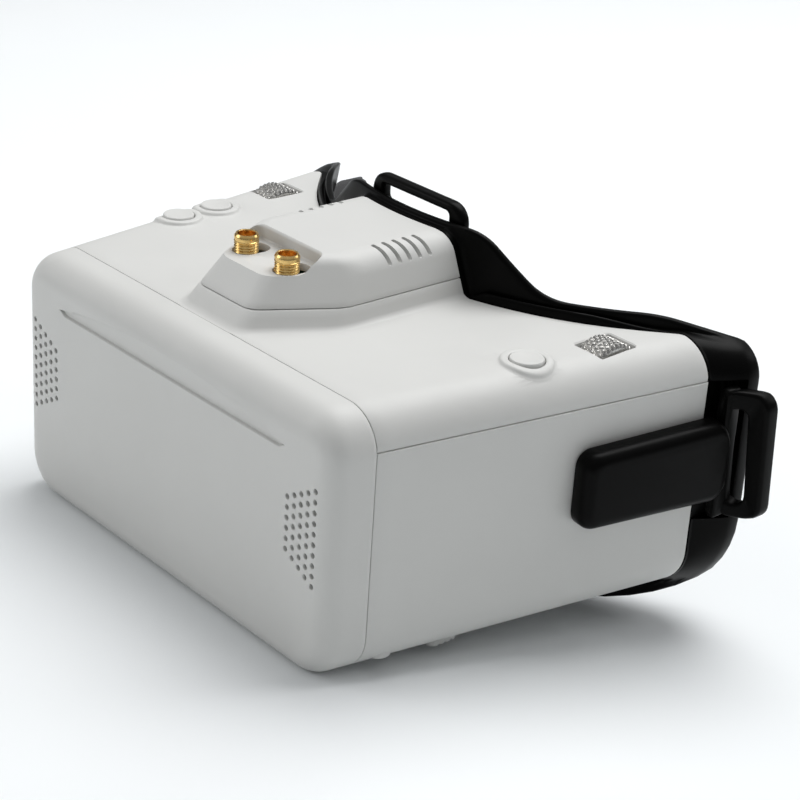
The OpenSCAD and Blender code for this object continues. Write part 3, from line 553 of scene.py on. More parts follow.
def mesh_holes():
    """Air holes on a staggered pattern, in columns that grow shorter towards the middle. Each is a round
    rod square to the front face, flared at its mouth."""
    r = bpy.context.scene.goggles_sizes.mesh_hole / MM
    pitch, centre_z = 2.75, 41.35
    count, mouth = 14, [(-1, 1.25), (0.0, 1.16), (0.18, 1.0), (4, 1.0)]
    t = np.linspace(0, 2 * pi, count, endpoint=False)
    grid = quads(len(mouth), count)
    points, faces, base = [], [], 0
    for x, holes in ((59.3, 10), (56.8, 9), (54.3, 8), (51.8, 7), (49.3, 6)):
        for z in centre_z + pitch * (np.arange(holes) - (holes - 1) / 2):
            for side in (1, -1):
                rings = [np.stack([side * x + r * k * np.cos(t), np.full(count, FRONT_Y + d),
                                   z + r * k * np.sin(t)], 1) for d, k in mouth]
                points.append(np.vstack(rings))
                faces += (grid + base).tolist()
                end = base + count * len(mouth)
                faces += [list(range(base, base + count))[::-1], list(range(end - count, end))]
                base = end
    return face_out(new_mesh("holes", np.vstack(points), faces))


def shell_sheet(name, keep, edge_z):
    """One shell as a closed sheet: for each point of the kept part of the section, a loop along its
    outside to the brow curve and back along its inside, with small rounded rims."""
    loop, normal, share = section()
    order = np.arange(len(loop))
    inside = keep(loop[:, 1])
    first = order[inside & ~np.roll(inside, 1)][0]
    order = np.roll(order, -first)[:inside.sum()]
    loop, normal, share = loop[order], normal[order], share[order]
    ends = []
    for source in (0, -1):
        p = loop[source].copy()
        p[1] = edge_z
        ends.append(p)
    loop = np.vstack([ends[0], ends[0], loop, ends[1], ends[1]])
    step = 0.15 if edge_z < loop[2, 1] else -0.15
    loop[1, 1] += step
    loop[-2, 1] += step
    grow = lambda v: np.concatenate([v[:1], v[:1], v, v[-1:], v[-1:]])
    normal, share = grow(normal), grow(share)
    worn = np.zeros(len(loop))
    worn[[0, -1]] = 0.15
    start = SEAM_Y + GAP / 2
    x_rear = np.abs(loop[:, 0]) + np.abs(share) * FLARE * (REAR_Y - FRONT_Y)
    end = np.minimum(REAR_Y, face_y(x_rear))
    for _ in range(4):
        end = np.minimum(REAR_Y, face_y(np.abs(loop[:, 0]) + np.abs(share) * FLARE * (end - FRONT_Y)))
    rings = [housing_ring(loop, normal, share, start, worn + 0.2),
             housing_ring(loop, normal, share, start + 0.05, worn + 0.06),
             housing_ring(loop, normal, share, start + 0.2, worn)]
    for part in np.linspace(0.04, 0.97, 18):
        rings.append(housing_ring(loop, normal, share, start + (end - start) * part, worn))
    rings += [housing_ring(loop, normal, share, end - d, np.maximum(worn, e))
              for d, e in ((0.5, 0), (0.2, 0.06), (0.05, 0.2), (0, 0.45), (0, WALL))]
    for part in np.linspace(0.97, 0.04, 8):
        rings.append(housing_ring(loop, normal, share, start + (end - start) * part, WALL))
    rings.append(housing_ring(loop, normal, share, start, WALL))
    return loft(name, np.transpose(rings, (1, 0, 2)))


def shell_height(x, y):
    """Height of the top shell's outside above (x, y): flat, then a quarter round to the flared side."""
    flat = FRONT_HALF_W + FLARE * (y - FRONT_Y) - TOP_R
    over = np.clip(np.abs(x) - flat, 0, TOP_R)
    return TOP_Z - TOP_R + np.sqrt(TOP_R ** 2 - over ** 2)


def button_boss(x, y):
    """Ring round a button: a profile of (radius, height) turned about it, with its heights measured from
    the shell's own surface."""
    profile = [(7.9, -0.35), (7.4, 0.0), (7.0, 0.1), (6.75, 0.3), (6.6, 0.6), (6.4, 0.85), (6.1, 0.97),
               (5.6, 1.0), (4.95, 0.98), (4.68, 0.86), (4.53, 0.6), (4.5, 0.3), (4.5, -WALL), (7.6, -WALL)]
    t = np.linspace(0, 2 * pi, 72, endpoint=False)
    rings = []
    for r, h in profile:
        px, py = x + r * np.cos(t), y + r * np.sin(t)
        rings.append(np.stack([px, py, shell_height(px, py) + h], 1))
    return loft("boss", rings, caps=False)


def box_cutter(name, low, high, r=0.4):
    """Block with rounded upright edges, for cutting."""
    loop = rounded(rectangle(low[0], low[1], high[0], high[1], r), 4)
    return loft(name, [np.insert(loop, 2, z, axis=1) for z in (low[2], high[2])])


def make_top_shell():
    """Upper shell with the hump's lower band, the bosses of the buttons and the windows of the wheels."""
    shell = shell_sheet("top_shell_fine", lambda z: z > SIDE_SEAM_Z + GAP / 2 + 0.3, SIDE_SEAM_Z + GAP / 2)
    combine(shell, [hump_band()], "UNION")
    for x, y in BUTTONS.values():
        combine(shell, [disc_rod(x, y, 66, 80, 5.3, 48)])
        combine(shell, [button_boss(x, y)], "UNION")
    half = np.array([4.75, 6.2])
    for side in SIDES.values():
        at = np.array([side * WHEEL_X, WHEEL_Y])
        stations = [(60, 0), (71.2, 0), (71.9, 0.1), (TOP_Z, 0.45), (73, 1.3)]
        rings = [np.insert(rounded(rectangle(*(at - half - g), *(at + half + g), 0.8 + g), 5), 2, z, axis=1)
                 for z, g in stations]
        combine(shell, [loft("window", rings)])
    return shell


# Depth, height, half width, half height and corner radius of each opening in the right side wall:
# power jack, 3.5 mm jack, HDMI socket and card socket
PORTS = [(-35, 28, 4.15, 4.15, 4.1), (-24, 28, 3.05, 3.05, 3.0), (-13, 21, 8.1, 3.4, 0.8),
         (-30, 44, 7.2, 1.5, 0.5)]


def make_bottom_shell():
    """Lower shell with the room for the nose, screw tunnels, knob slots and the sockets' openings. Each
    opening is an outline carried through the wall square to it, and flared at its mouth."""
    shell = shell_sheet("bottom_shell_fine", lambda z: z < SIDE_SEAM_Z - GAP / 2 - 0.3, SIDE_SEAM_Z - GAP / 2)
    nose = rounded(both_sides([(13, 32, 9), (26.1, -11, 0)]), 8, 0.5)
    combine(shell, [loft("nose", [np.insert(nose, 1, y, axis=1) for y in (2.5, 70)])])
    for side in SIDES.values():
        holes = [disc_rod(side * x, y, 0, 44, 2.5, 40) for x, y in ((62.3, -47), (71, 30))]
        slot = box_cutter("slot", (side * KNOB_X - 1.5, KNOB_Y - 5.8, -1),
                          (side * KNOB_X + 1.5, KNOB_Y + 5.8, 8), 0.25)
        tubes = [disc_rod(side * x, y, 6, 49.8, 3.4, 40) for x, y in ((62.0, -46.7), (71, 30))]
        combine(shell, [joined("tubes", tubes)], "UNION")
        combine(shell, [joined("holes", holes + [slot])])
    cutters = []
    along = np.array([-FLARE, 1.0]) / sqrt(1 + FLARE ** 2)
    out = np.array([-1.0, -FLARE]) / sqrt(1 + FLARE ** 2)
    for y, z, half_w, half_h, r in PORTS:
        outline = rounded(rectangle(-half_w, -half_h, half_w, half_h, r), 8)
        foot = np.array([-(FRONT_HALF_W + FLARE * (y - FRONT_Y)), y])
        rings = []
        for off, grow in ((-4, 0), (-0.5, 0), (-0.15, 0.1), (0.0, 0.4), (1, 1.2)):
            wide = outline * (1 + grow / np.array([half_w, half_h]))
            plan = foot + wide[:, :1] * along + off * out
            rings.append(np.column_stack([plan, z + wide[:, 1]]))
        cutters.append(loft("port", rings))
    return combine(shell, [joined("ports", cutters)])


class GOGGLES_OT_housing(bpy.types.Operator):
    """Front cover, top shell and bottom shell as lofted walls"""
    bl_idname = "goggles.housing"
    bl_label = "Housing"

    def execute(self, context):
        for make, node in ((make_front_cover, "front_cover"), (make_top_shell, "top_shell"),
                           (make_bottom_shell, "bottom_shell")):
            finish_piece(make(), "housing", [node], shell_plastic(), 30)
        return {"FINISHED"}


# ---- Hump ------------------------------------------------------------------------------------------

def fillet_in(z, top, lean, r):
    """How far a leaning side moves in at height z, where a fillet of radius r leads it into the top."""
    low = top - r
    tangent = low + r * lean / sqrt(1 + lean ** 2)
    arc = r * sqrt(1 + lean ** 2) - lean * (z - low) - sqrt(max(r * r - max(z - low, 0) ** 2, 0))
    return arc if z > tangent else 0.0


def hump_ring(z, inset=0.0, base_r=0.0):
    """The hump's outline at height z: side, diagonal and front lines that lean in and round over, rounded
    where they meet, and the brow curve at the rear."""
    foot = 0.0
    if base_r and z < TOP_Z + base_r:
        h = max(z - TOP_Z, 0)
        foot = base_r - sqrt(base_r ** 2 - (base_r - h) ** 2)
    top = HUMP_TOP - inset if inset > 1 else HUMP_TOP
    nx, ny, reach, lean = DIAGONAL
    size = sqrt(nx * nx + ny * ny)
    side = HUMP_HALF_W - HUMP_LEAN * (z - TOP_Z) - fillet_in(z, top, HUMP_LEAN, 7) - inset * 1.06 + foot
    front = HUMP_FRONT_Y + HUMP_FRONT_LEAN * (z - TOP_Z) + fillet_in(z, top, HUMP_FRONT_LEAN, 4) \
        + inset * 1.3 - foot
    diagonal = size * (reach - lean * (z - HUMP_PARTING) - fillet_in(z, top, lean, 4.5)
                       - 1.18 * inset + foot)
    a = (side, (diagonal - nx * side) / ny)
    b = ((diagonal - ny * front) / nx, front)
    x = np.linspace(-side, side, 15)[1:-1]
    rear = np.stack([x, face_y(x) - min(inset, 0.25)], 1)
    end = (side, float(face_y(side)) - min(inset, 0.25))
    outline = rounded([(*end, 0.01), (*a, 12.8), (*b, 5.2),
                       (-b[0], b[1], 5.2), (-a[0], a[1], 12.8), (-end[0], end[1], 0.01)], 8)
    return np.insert(np.vstack([outline, rear]), 2, z, axis=1)


def hump_band():
    """The band under the parting line, hollow, with a fillet where it meets the top face."""
    base_r = 1.3
    heights = [71.2, TOP_Z, TOP_Z + 0.08, TOP_Z + 0.3, TOP_Z + 0.65, TOP_Z + 1.0, TOP_Z + 1.3]
    rings = [hump_ring(max(z, TOP_Z), 0, base_r) * (1, 1, 0) + (0, 0, z) for z in heights]
    rim = HUMP_PARTING - GAP / 2
    rings += [hump_ring(75.2), hump_ring(rim - 0.2), hump_ring(rim - 0.05, 0.06)]
    rings += [hump_ring(rim, 0.22), hump_ring(rim, 2.2), hump_ring(71.2, 2.2)]
    return loft("band", rings, caps=False)


def recess_cutter(grow=0.0, base=RECESS_Z, name="recess"):
    """Room for the antenna jacks: open to the front, rounded corners, soft floor edge and soft rim."""
    rings = []
    stations = [(0, -0.7), (0.2, -0.3), (0.7, 0), (3.2, 0), (3.6, 0.12), (3.9, 0.42), (4.2, 0.9)]
    for h, g in (stations if grow == 0 else [(0, 0), (8, 0)]):
        g += grow
        x, y = RECESS_HALF_W + g, RECESS_BACK_Y + g
        loop = rounded(both_sides([(x, y, 3 + max(g, 0)), (x, -75, 0)]), 8)
        rings.append(np.insert(loop, 2, base + h, axis=1))
    return loft(name, rings)


def vent_cutter(y, side):
    """Slot down the hump's shoulder: a U-shaped section carried outwards, narrowed to a round tip."""
    half_w, low, high, start, angle = 0.62, 84.0, 90.0, 13.8, radians(14)
    turn = np.linspace(0, pi, 9)
    u = np.vstack([np.stack([-np.cos(turn), -np.sin(turn)], 1), [[1, 6], [-1, 6]]])
    rings = []
    for s in np.array([0.02, 0.1, 0.25, 0.45, 0.62, 1.5, 4.0, 7.0, 9.5]):
        width = half_w * sqrt(max(1 - (1 - min(s / half_w, 1)) ** 2, 0))
        across = u[:, 0] * width
        z = np.where(u[:, 1] > 1, high, low + half_w + u[:, 1] * half_w)
        x = start + s * cos(angle) - across * sin(angle)
        rings.append(np.stack([side * x, y + s * sin(angle) + across * cos(angle), z], 1))
    return loft("vent", rings)


def make_module_cover():
    """The hump's cap: a hollow shell with the antenna recess, two cable holes and the side vents."""
    rim = HUMP_PARTING + GAP / 2
    rings = [hump_ring(rim, 0.22), hump_ring(rim + 0.05, 0.06), hump_ring(rim + 0.2)]
    heights = list(np.linspace(78.5, 82.5, 4)) + list(np.linspace(83.2, HUMP_TOP, 15))
    rings += [hump_ring(z) for z in heights]
    last = rings[-1]
    middle = np.array([0, (last[:, 1].min() + last[:, 1].max()) / 2, HUMP_TOP])
    rings.append(last + (middle - last) * 0.02)
    cover = loft("module_cover_fine", rings)
    room = loft("room", [hump_ring(z, 1.2) for z in (rim - 2, 80, 83, 84.5, 85.6, 86.3, 86.8)])
    combine(room, [recess_cutter(2.0, RECESS_Z - 2, "tub")])
    combine(cover, [room, recess_cutter()])
    holes = []
    for side in SIDES.values():
        x = side * SMA_X
        hole = rounded(rectangle(x - 3.5, SMA_Y - 3.5, x + 3.5, SMA_Y + 6.5, 3.4), 8)
        middle = np.array([x, SMA_Y + 1.5])
        stations = ((78, 1.0), (RECESS_Z - 0.3, 1.0), (RECESS_Z - 0.08, 1.02), (RECESS_Z + 0.05, 1.09),
                    (86, 1.2))
        rings = [np.insert(middle + (hole - middle) * k, 2, z, axis=1) for z, k in stations]
        holes.append(loft("hole", rings))
    vents = [vent_cutter(-13.6 + 3.32 * i, side) for i in range(5) for side in SIDES.values()]
    return combine(cover, [joined("holes", holes), joined("vents", vents)])


class GOGGLES_OT_hump(bpy.types.Operator):
    """Cap of the hump with its antenna recess and vents"""
    bl_idname = "goggles.hump"
    bl_label = "Module cover"

    def execute(self, context):
        finish_piece(make_module_cover(), "housing", ["module_cover"], shell_plastic(), 30)
        return {"FINISHED"}


# ---- Face side -------------------------------------------------------------------------------------

EYE = both_sides([(18, 60, 0), (30, 60, 0), (42, 60, 0), (54, 60, 12), (54, 17, 10), (33, 17, 8),
                  (22, 43, 9)])
HOUSING_END = both_sides([(18.5, 88, 6.5), (23.9, 72.2, 1.2), (60, 72.2, 0), (82, 72.2, 10.5),
                          (82, 2.5, 12), (22.3, 2.5, 1.5), (13, 32, 9)])
FRAME_RIM = both_sides([(25.5, 89.4, 13), (42, 75.6, 15), (65, 75.6, 24), (87, 68.4, 9), (87, -7, 30),
                        (25, -7, 5), (13, 32, 9)])
FOAM_RIM = both_sides([(22, 79.5, 12), (39, 70, 12), (60, 70, 0), (79.8, 69.5, 15), (80.5, -1.5, 25),
                       (28.5, -1.5, 4), (16, 35, 9)])
FOAM_EYE = both_sides([(17, 61, 0), (29, 61, 0), (41, 61, 0), (55, 61, 12), (55, 16, 10), (32, 16, 8),
                       (21, 43, 9)])


def matched(corners, steps=10, between=7):
    """Outline with as many points on each corner and on each straight as its fellows have, so that
    outlines with as many corners can be joined point to point."""
    loop = rounded(corners, steps)
    arcs = loop.reshape(len(corners), steps + 1, 2)
    t = np.linspace(0, 1, between + 2)[1:-1, None]
    gaps = arcs[:, -1:] + (np.roll(arcs[:, :1], -1, 0) - arcs[:, -1:]) * t
    return np.concatenate([arcs, gaps], 1).reshape(-1, 2)


def soft_min(a, b, k):
    """The smaller of a and b, with the change from one to the other rounded over a length k."""
    return (a + b - np.sqrt((a - b) ** 2 + k * k)) / 2


def fade(v, a, b):
    """0 up to a, 1 from b on, and a smooth cubic step between them."""
    part = np.clip((v - a) / (b - a), 0, 1)
    return part ** 2 * (3 - 2 * part)


def make_face_frame():
    """A closed profile carried round the face: window edge, front under the shells, lip, groove, outer
    wall, rim and rear face. Each point lies on a mix of the eye, housing and rim outlines, at its own
    distance behind the brow curve, and no further back than its own limit."""
    eye, end, rim = matched(EYE), matched(HOUSING_END), matched(FRAME_RIM)
    lip_h = bpy.context.scene.goggles_sizes.lip_height / MM
    x = np.abs(end[:, 0])
    lip = lip_h * fade(x, 24.5, 29) * (1 - fade(x, 52, 70)) * (end[:, 1] > 60)
    up = np.stack([np.zeros_like(lip), lip], 1)
    toward = lambda a, b, d: a + (b - a) / np.maximum(np.linalg.norm(b - a, axis=1, keepdims=True), 0.5) * d
    rows = [(eye, 1.1, 54), (toward(eye, end, 0.25), 0.5, 54), (toward(eye, end, 0.9), 0.3, 54),
            (toward(end, eye, 3.0), 0.3, 40.8), (toward(end, eye, 0.5), 0.3, 40.8), (end, 0.35, 40.8),
            (end + up * 0.7, 0.42, 40.9), (end + up * 0.92, 0.6, 41.0), (end + up, 0.95, 41.1),
            (end + up * 0.92, 1.3, 41.2), (end + up * 0.7, 1.5, 41.3), (end + up * 0.25, 1.65, 41.4),
            (end + up * 0.12, 1.85, 41.5), (end + up * 0.15 + (rim - end) * 0.03, 2.1, 41.7),
            (end + (rim - end) * 0.12, 2.3, 42.4), (end + (rim - end) * 0.35, 2.35, 44.2),
            (end + (rim - end) * 0.65, 2.35, 46.8), (end + (rim - end) * 0.86, 2.4, 48.9),
            (end + (rim - end) * 0.95, 2.55, 49.9), (end + (rim - end) * 0.99, 2.85, 50.6), (rim, 3.2, 51.4),
            (rim, 3.6, 53.4), (toward(rim, eye, 0.2), 4.0, 54.1), (toward(rim, eye, 0.6), 4.25, 54.4),
            (toward(rim, eye, 1.1), 4.3, 54.5), (rim + (eye - rim) * 0.35, 4.3, 54.5),
            (rim + (eye - rim) * 0.7, 4.3, 54.5), (toward(eye, rim, 0.9), 4.3, 54.5),
            (toward(eye, rim, 0.25), 4.1, 54.4), (eye, 3.5, 54.2)]
    rings = []
    for outline, shift, limit in rows:
        y = soft_min(face_y(outline[:, 0], shift), limit, 0.35)
        rings.append(np.stack([outline[:, 0], y, outline[:, 1]], 1))
    made = loft("face_frame_fine", rings, caps=False)
    front, low, high = 30, 24, 63
    for side in SIDES.values():
        for x0, x1, rear in ((83, 100, 50), (81.6, 84, 48.4)):
            corners = np.sort([(side * x0, front, low), (side * x1, rear, high)], axis=0)
            combine(made, [box_cutter("notch", *corners)])
    return made


class GOGGLES_OT_face_frame(bpy.types.Operator):
    """Black frame round the face opening, with its lip and its flared rim"""
    bl_idname = "goggles.face_frame"
    bl_label = "Face frame"

    def execute(self, context):
        finish_piece(make_face_frame(), "housing", ["face_frame"], black_plastic(), 50)
        return {"FINISHED"}


def make_foam():
    """Soft ring: between the eye window and the foam's rim, a thick profile with round edges, a crowned
    back, a sewn seam near each edge and slow waves where the foam gives."""
    inner, outer = matched(FOAM_EYE), matched(FOAM_RIM)
    crown = bpy.context.scene.goggles_sizes.foam_crown / MM
    around = np.linspace(0, 2 * pi, len(outer), endpoint=False)
    wave = 0.22 * np.sin(around * 9 + 0.7) + 0.15 * np.sin(around * 17 + 2.1)
    front, depth = 4.45, 10.3
    profile = [(0.02, 0.02), (0.0, 0.12), (0.0, 0.42), (0.0, 0.70), (0.012, 0.76), (0.03, 0.74),
               (0.05, 0.80), (0.09, 0.88), (0.16, 0.95), (0.28, 0.985), (0.5, 1.0), (0.72, 0.985),
               (0.84, 0.95), (0.91, 0.88), (0.95, 0.80), (0.97, 0.74), (0.988, 0.76), (1.0, 0.70),
               (1.0, 0.42), (1.0, 0.12), (0.98, 0.02), (0.7, 0.0), (0.3, 0.0)]
    rings = []
    for across, high in profile:
        outline = inner + (outer - inner) * across
        swell = wave * np.clip(high - 0.5, 0, 0.5) * 2
        shift = front + (depth - crown) * high + crown * high * sin(pi * across) + swell
        limit = np.minimum(58 + 8 * high, 66.0 - 0.96 * np.maximum(np.abs(outline[:, 0]) - 74, 0))
        y = soft_min(face_y(outline[:, 0], shift), limit, 1.2)
        y = np.maximum(y, face_y(outline[:, 0], 4.4) + 0.02)
        rings.append(np.stack([outline[:, 0], y, outline[:, 1]], 1))
    return loft("face_foam_fine", rings, caps=False)


class GOGGLES_OT_face_foam(bpy.types.Operator):
    """Soft face foam with a crowned back and sewn edges"""
    bl_idname = "goggles.face_foam"
    bl_label = "Face foam"

    def execute(self, context):
        foam = finish_piece(make_foam(), "housing", ["face_foam"], foam_cloth(), 70)
        return {"FINISHED"}


# ---- Straps ----------------------------------------------------------------------------------------

def wall_points(off, along, z, side):
    """Points given from the flared side wall: distance off it, distance along it from the front, height."""
    c, s = cos(atan(FLARE)), sin(atan(FLARE))
    x = FRONT_HALF_W + off * c + along * s
    y = FRONT_Y - off * s + along * c
    return np.stack(np.broadcast_arrays(side * x, y, z), 1)


def make_arm(side):
    """Plate along the side wall with well rounded outer edges, and at its end a tall ring. The ring is a
    rounded outline less a slot, carried from its front to its rear face along a plan that runs out and
    back, and it leans forward at its top."""
    front, rear = ((y - FRONT_Y) / cos(atan(FLARE)) for y in (1.4, 44.5))
    corners = lambda g: rounded([(rear, 53.5 - g, 3.5), (rear, 31 + g, 3.5),
                                 (front + g, 31.7 + g, 4.2 - g * 0.5),
                                 (front + g, 52.2 - g, 4.2 - g * 0.5)], 8)
    flat, edge_r = 3.2, 3.1
    stations = [(0.3, 0.35), (0.45, 0.1), (0.7, 0), (flat, 0)]
    stations += [(flat + a, d) for a, d in quarter(edge_r, 8)[1:]]
    plate = loft("arm", [wall_points(off, loop[:, 0], loop[:, 1], side)
                         for off, loop in ((o, corners(g)) for o, g in stations)])
    low, high, bar = 25.5, 61.5, []
    for y, g in [(43, 0.9), (43.25, 0.35), (43.8, 0), (47, 0), (47.6, 0.2), (47.9, 0.8)]:
        loop = rounded(rectangle(84 + g * 0.4, low + g, 87 - g * 0.4, high - g, 1.1), 6)
        bar.append(np.stack([side * loop[:, 0], np.full(len(loop), y), loop[:, 1]], 1))
    bar = loft("bar", bar)
    # The ring's plan: its depth at the arm, at the bend and along its outer bar
    plan_x, plan_y = (84, 87, 92.7, 95.5), (44.4, 46.3, 50.4, 50.4)
    outer = lambda g: densify(rounded(rectangle(84 + g, low + g, 95.5 - g, high - g, 4.6 - g), 8), 6)
    slot = ((90.2, 56.5, 1, 1), (90.9, 29.5, 1, -1), (86.4, 29.5, -1, -1), (86.4, 56.5, -1, 1))
    inner = lambda g: densify(rounded([(x + g * right, z + g * up, 2 + g * 0.8)
                                       for x, z, right, up in slot], 8), 6)
    e, deep, lean = 1.1, 4.7, 0.074
    rings = []
    for part, g, loop in ([(e - a, d, outer) for a, d in quarter(e)] +
                          [(0, 0.9, inner), (0.3, 0.35, inner), (0.9, 0, inner), (deep - 0.9, 0, inner),
                           (deep - 0.3, 0.35, inner), (deep, 0.9, inner)] +
                          [(deep - e + a, d, outer) for a, d in quarter(e)[::-1]]):
        ring = loop(g)
        if len(rings) and len(ring) != len(rings[0]):
            ring = resampled(ring, len(rings[0]))
        y = np.interp(ring[:, 0], plan_x, plan_y) + part
        rings.append(np.stack([side * ring[:, 0], y - lean * (ring[:, 1] - low), ring[:, 1]], 1))
    return combine(plate, [bar, loft("hoop", rings, caps=False)], "UNION")


class GOGGLES_OT_strap_arms(bpy.types.Operator):
    """Strap arms with their tall rings"""
    bl_idname = "goggles.strap_arms"
    bl_label = "Strap arms"

    def execute(self, context):
        for name, side in SIDES.items():
            arm = make_arm(side)
            arm.name = f"strap_arm_{name}_fine"
            finish_piece(arm, "housing", [f"strap_arm_{name}"], black_plastic(), 40)
        return {"FINISHED"}


def make_loop():
    """Top strap loop: a rounded bar bent into a flat ring, curved in plan with the frame behind it."""
    top, half_w, rear, e = 93.9, 18.0, 16.2, 1.1
    outer = lambda g: rounded(rectangle(-half_w + g, 80 + g, half_w - g, top - g, 5.2 - g), 8)
    inner = lambda g: rounded(rectangle(-13 - g, 86.9 - g, 13 + g, 91.4 + g, 1.4 + g * 0.7), 8)
    rings = []
    front = lambda x: np.minimum(face_y(x, 4.45), rear - 3.0)
    for part, g, loop in ([(e - a, d, outer) for a, d in quarter(e)] +
                          [(0, 0.9, inner), (0.3, 0.35, inner), (0.9, 0, inner)] +
                          [(-0.9, 0, inner), (-0.3, 0.35, inner), (-0.001, 0.9, inner)] +
                          [(-(e - a) - 0.001, d, outer) for a, d in quarter(e)[::-1]]):
        ring = loop(g)
        y = front(ring[:, 0]) + part if part >= 0 else np.full(len(ring), rear + part)
        rings.append(np.stack([ring[:, 0], y, ring[:, 1]], 1))
    return loft("top_strap_loop_fine", rings, caps=False)


class GOGGLES_OT_top_loop(bpy.types.Operator):
    """Loop for the top strap"""
    bl_idname = "goggles.top_loop"
    bl_label = "Top strap loop"

    def execute(self, context):
        finish_piece(make_loop(), "housing", ["top_strap_loop"], black_plastic(), 40)
        return {"FINISHED"}


# ---- Antenna jacks, wheels and buttons -------------------------------------------------------------

def make_jack(name, side):
    """Turned jack: a profile of (radius, height) round its axis, flat below and bored from the top, with a
    helical thread whose groove depth is a triangle wave of height less turn."""
    base, bore_r, neck_r, thread_r, thread_low, thread_high = 75.65, 2.3, 3.0, 3.175, 83.8, 86.5
    pitch, groove, steps = 0.7, 0.34, 64
    profile = [(3.6, base), (3.6, base + 1.6), (neck_r, base + 1.7), (neck_r, 83.6)]
    profile += [(thread_r, z) for z in np.linspace(thread_low, thread_high + 0.1, 29)]
    profile += [(neck_r, 86.75), (neck_r, 87.2), (thread_r, 87.3), (thread_r, 87.75), (3.05, 88.0),
                (2.9, 88.25), (2.75, SMA_TOP), (2.45, SMA_TOP), (bore_r, 88.3), (bore_r, base + 1.8)]
    t = np.linspace(0, 2 * pi, steps, endpoint=False)
    r, z = (np.repeat(column[:, None], steps, 1) for column in np.transpose(profile))
    phase = (z / pitch - t[None] / (2 * pi)) % 1
    threaded = (r > 3.1) & (z > thread_low) & (z < thread_high)
    r = r - groove * (1 - np.abs(2 * phase - 1)) * threaded
    return loft(name, np.stack([side * SMA_X + r * np.cos(t), SMA_Y + r * np.sin(t), z], 2))


class GOGGLES_OT_antenna_jacks(bpy.types.Operator):
    """Two gold antenna jacks with cut threads"""
    bl_idname = "goggles.antenna_jacks"
    bl_label = "Antenna jacks"

    def execute(self, context):
        for name, side in SIDES.items():
            node = f"sma_connector_{name}"
            made = make_jack(node + "_fine", side)
            finish_piece(made, body_of(node), [node], gold_plate(), 35)
        return {"FINISHED"}


def make_wheel(name, side):
    """Knurled wheel: a cylinder whose radius drops in two crossed sets of helical grooves, which leaves
    diamonds, with chamfered rims and a bored hub."""
    depth = bpy.context.scene.goggles_sizes.knurl_depth / MM
    turns, pitch, half = 34, 1.3, WHEEL_W / 2 - 0.2
    hub_r, face_r, edge_r = 1.05, 7.4, WHEEL_R - depth - 0.35
    t = np.linspace(0, 2 * pi, turns * 10, endpoint=False)
    x = np.linspace(-half + 0.45, half - 0.45, 42)
    tri = lambda v: np.abs(2 * (v % 1) - 1)
    p = turns * t[None] / (2 * pi) + x[:, None] / (2 * pitch)
    q = turns * t[None] / (2 * pi) - x[:, None] / (2 * pitch)
    height = np.clip(np.minimum(tri(p), tri(q)) * 2.2, 0, 1)
    r = WHEEL_R - depth * (1 - height)
    rims = [(-half, hub_r), (-half, face_r), (-half + 0.1, edge_r)]
    rims += [(-a, radius) for a, radius in rims[::-1]]
    ring = lambda a, radius: np.stack([np.full(len(t), side * WHEEL_X + a), WHEEL_Y + radius * np.cos(t),
                                       WHEEL_Z + radius * np.sin(t)], 1)
    rows = rims[:3] + list(zip(x, r)) + rims[3:]
    return loft(name, [ring(a, radius) for a, radius in rows], caps=False)


class GOGGLES_OT_wheels(bpy.types.Operator):
    """Two knurled thumb wheels"""
    bl_idname = "goggles.wheels"
    bl_label = "Thumb wheels"

    def execute(self, context):
        for name, side in SIDES.items():
            node = f"wheel_{name}"
            made = make_wheel(node + "_fine", side)
            finish_piece(made, body_of(node), [node], wheel_metal(), 22)
        return {"FINISHED"}


def make_button(name, x, y):
    """Button: a profile turned about its axis, with a dished top and a soft edge."""
    top = TOP_Z + 1.3
    profile = [(0.35, top - 0.35), (1.6, top - 0.32), (2.8, top - 0.2), (3.5, top - 0.05), (3.85, top),
               (4.1, top - 0.08), (4.25, top - 0.28), (4.3, top - 0.6), (4.3, 69.9), (4.9, 69.9),
               (4.9, 68.7), (1.5, 68.7), (1.5, 54.95), (0.35, 54.95)]
    t = np.linspace(0, 2 * pi, 64, endpoint=False)
    rings = [np.stack([x + r * np.cos(t), y + r * np.sin(t), np.full(64, z)], 1) for r, z in profile]
    return loft(name, rings)


class GOGGLES_OT_buttons(bpy.types.Operator):
    """Three push buttons with dished tops"""
    bl_idname = "goggles.buttons"
    bl_label = "Push buttons"

    def execute(self, context):
        for node, (x, y) in BUTTONS.items():
            made = make_button(node + "_fine", x, y)
            finish_piece(made, body_of(node), [node], shell_plastic(), 35)
        return {"FINISHED"}


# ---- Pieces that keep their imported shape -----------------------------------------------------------

class GOGGLES_OT_inner_pieces(bpy.types.Operator):
    """Materials of the optics, boards, fans, sockets and fasteners"""
    bl_idname = "goggles.inner_pieces"
    bl_label = "Inner pieces"

    def execute(self, context):
        steel = turned_metal("plain_steel", (0.50, 0.51, 0.53), 0.34)
        board = circuit_board("green_board")
        dark = moulded_plastic("matt_black", (0.012, 0.012, 0.013), 0.62, 1800, 0.00004, 0.12, 0.35)
        amber = moulded_plastic("amber_insulator", (0.50, 0.22, 0.05), 0.38, 2200, 0.00002, 0.08)
        finishes = {
            "black_plastic": dark, "steel": steel, "circuit_board": board, "gold_plate": gold_plate(),
            "light_shell": shell_plastic(), "clear_lens": clear_optic("clear_acrylic"),
            "display_glass": display_glass("dark_glass"), "insulator": amber, "wheel_metal": wheel_metal(),
            "face_foam": foam_cloth(),
        }
        for row in frame["record"]["subparts"]:
            node = NODES[row["node"]]
            node.data.materials.clear()
            node.data.materials.append(finishes[row["material_slot"]])
        return {"FINISHED"}


# ---- Stage -----------------------------------------------------------------------------------------

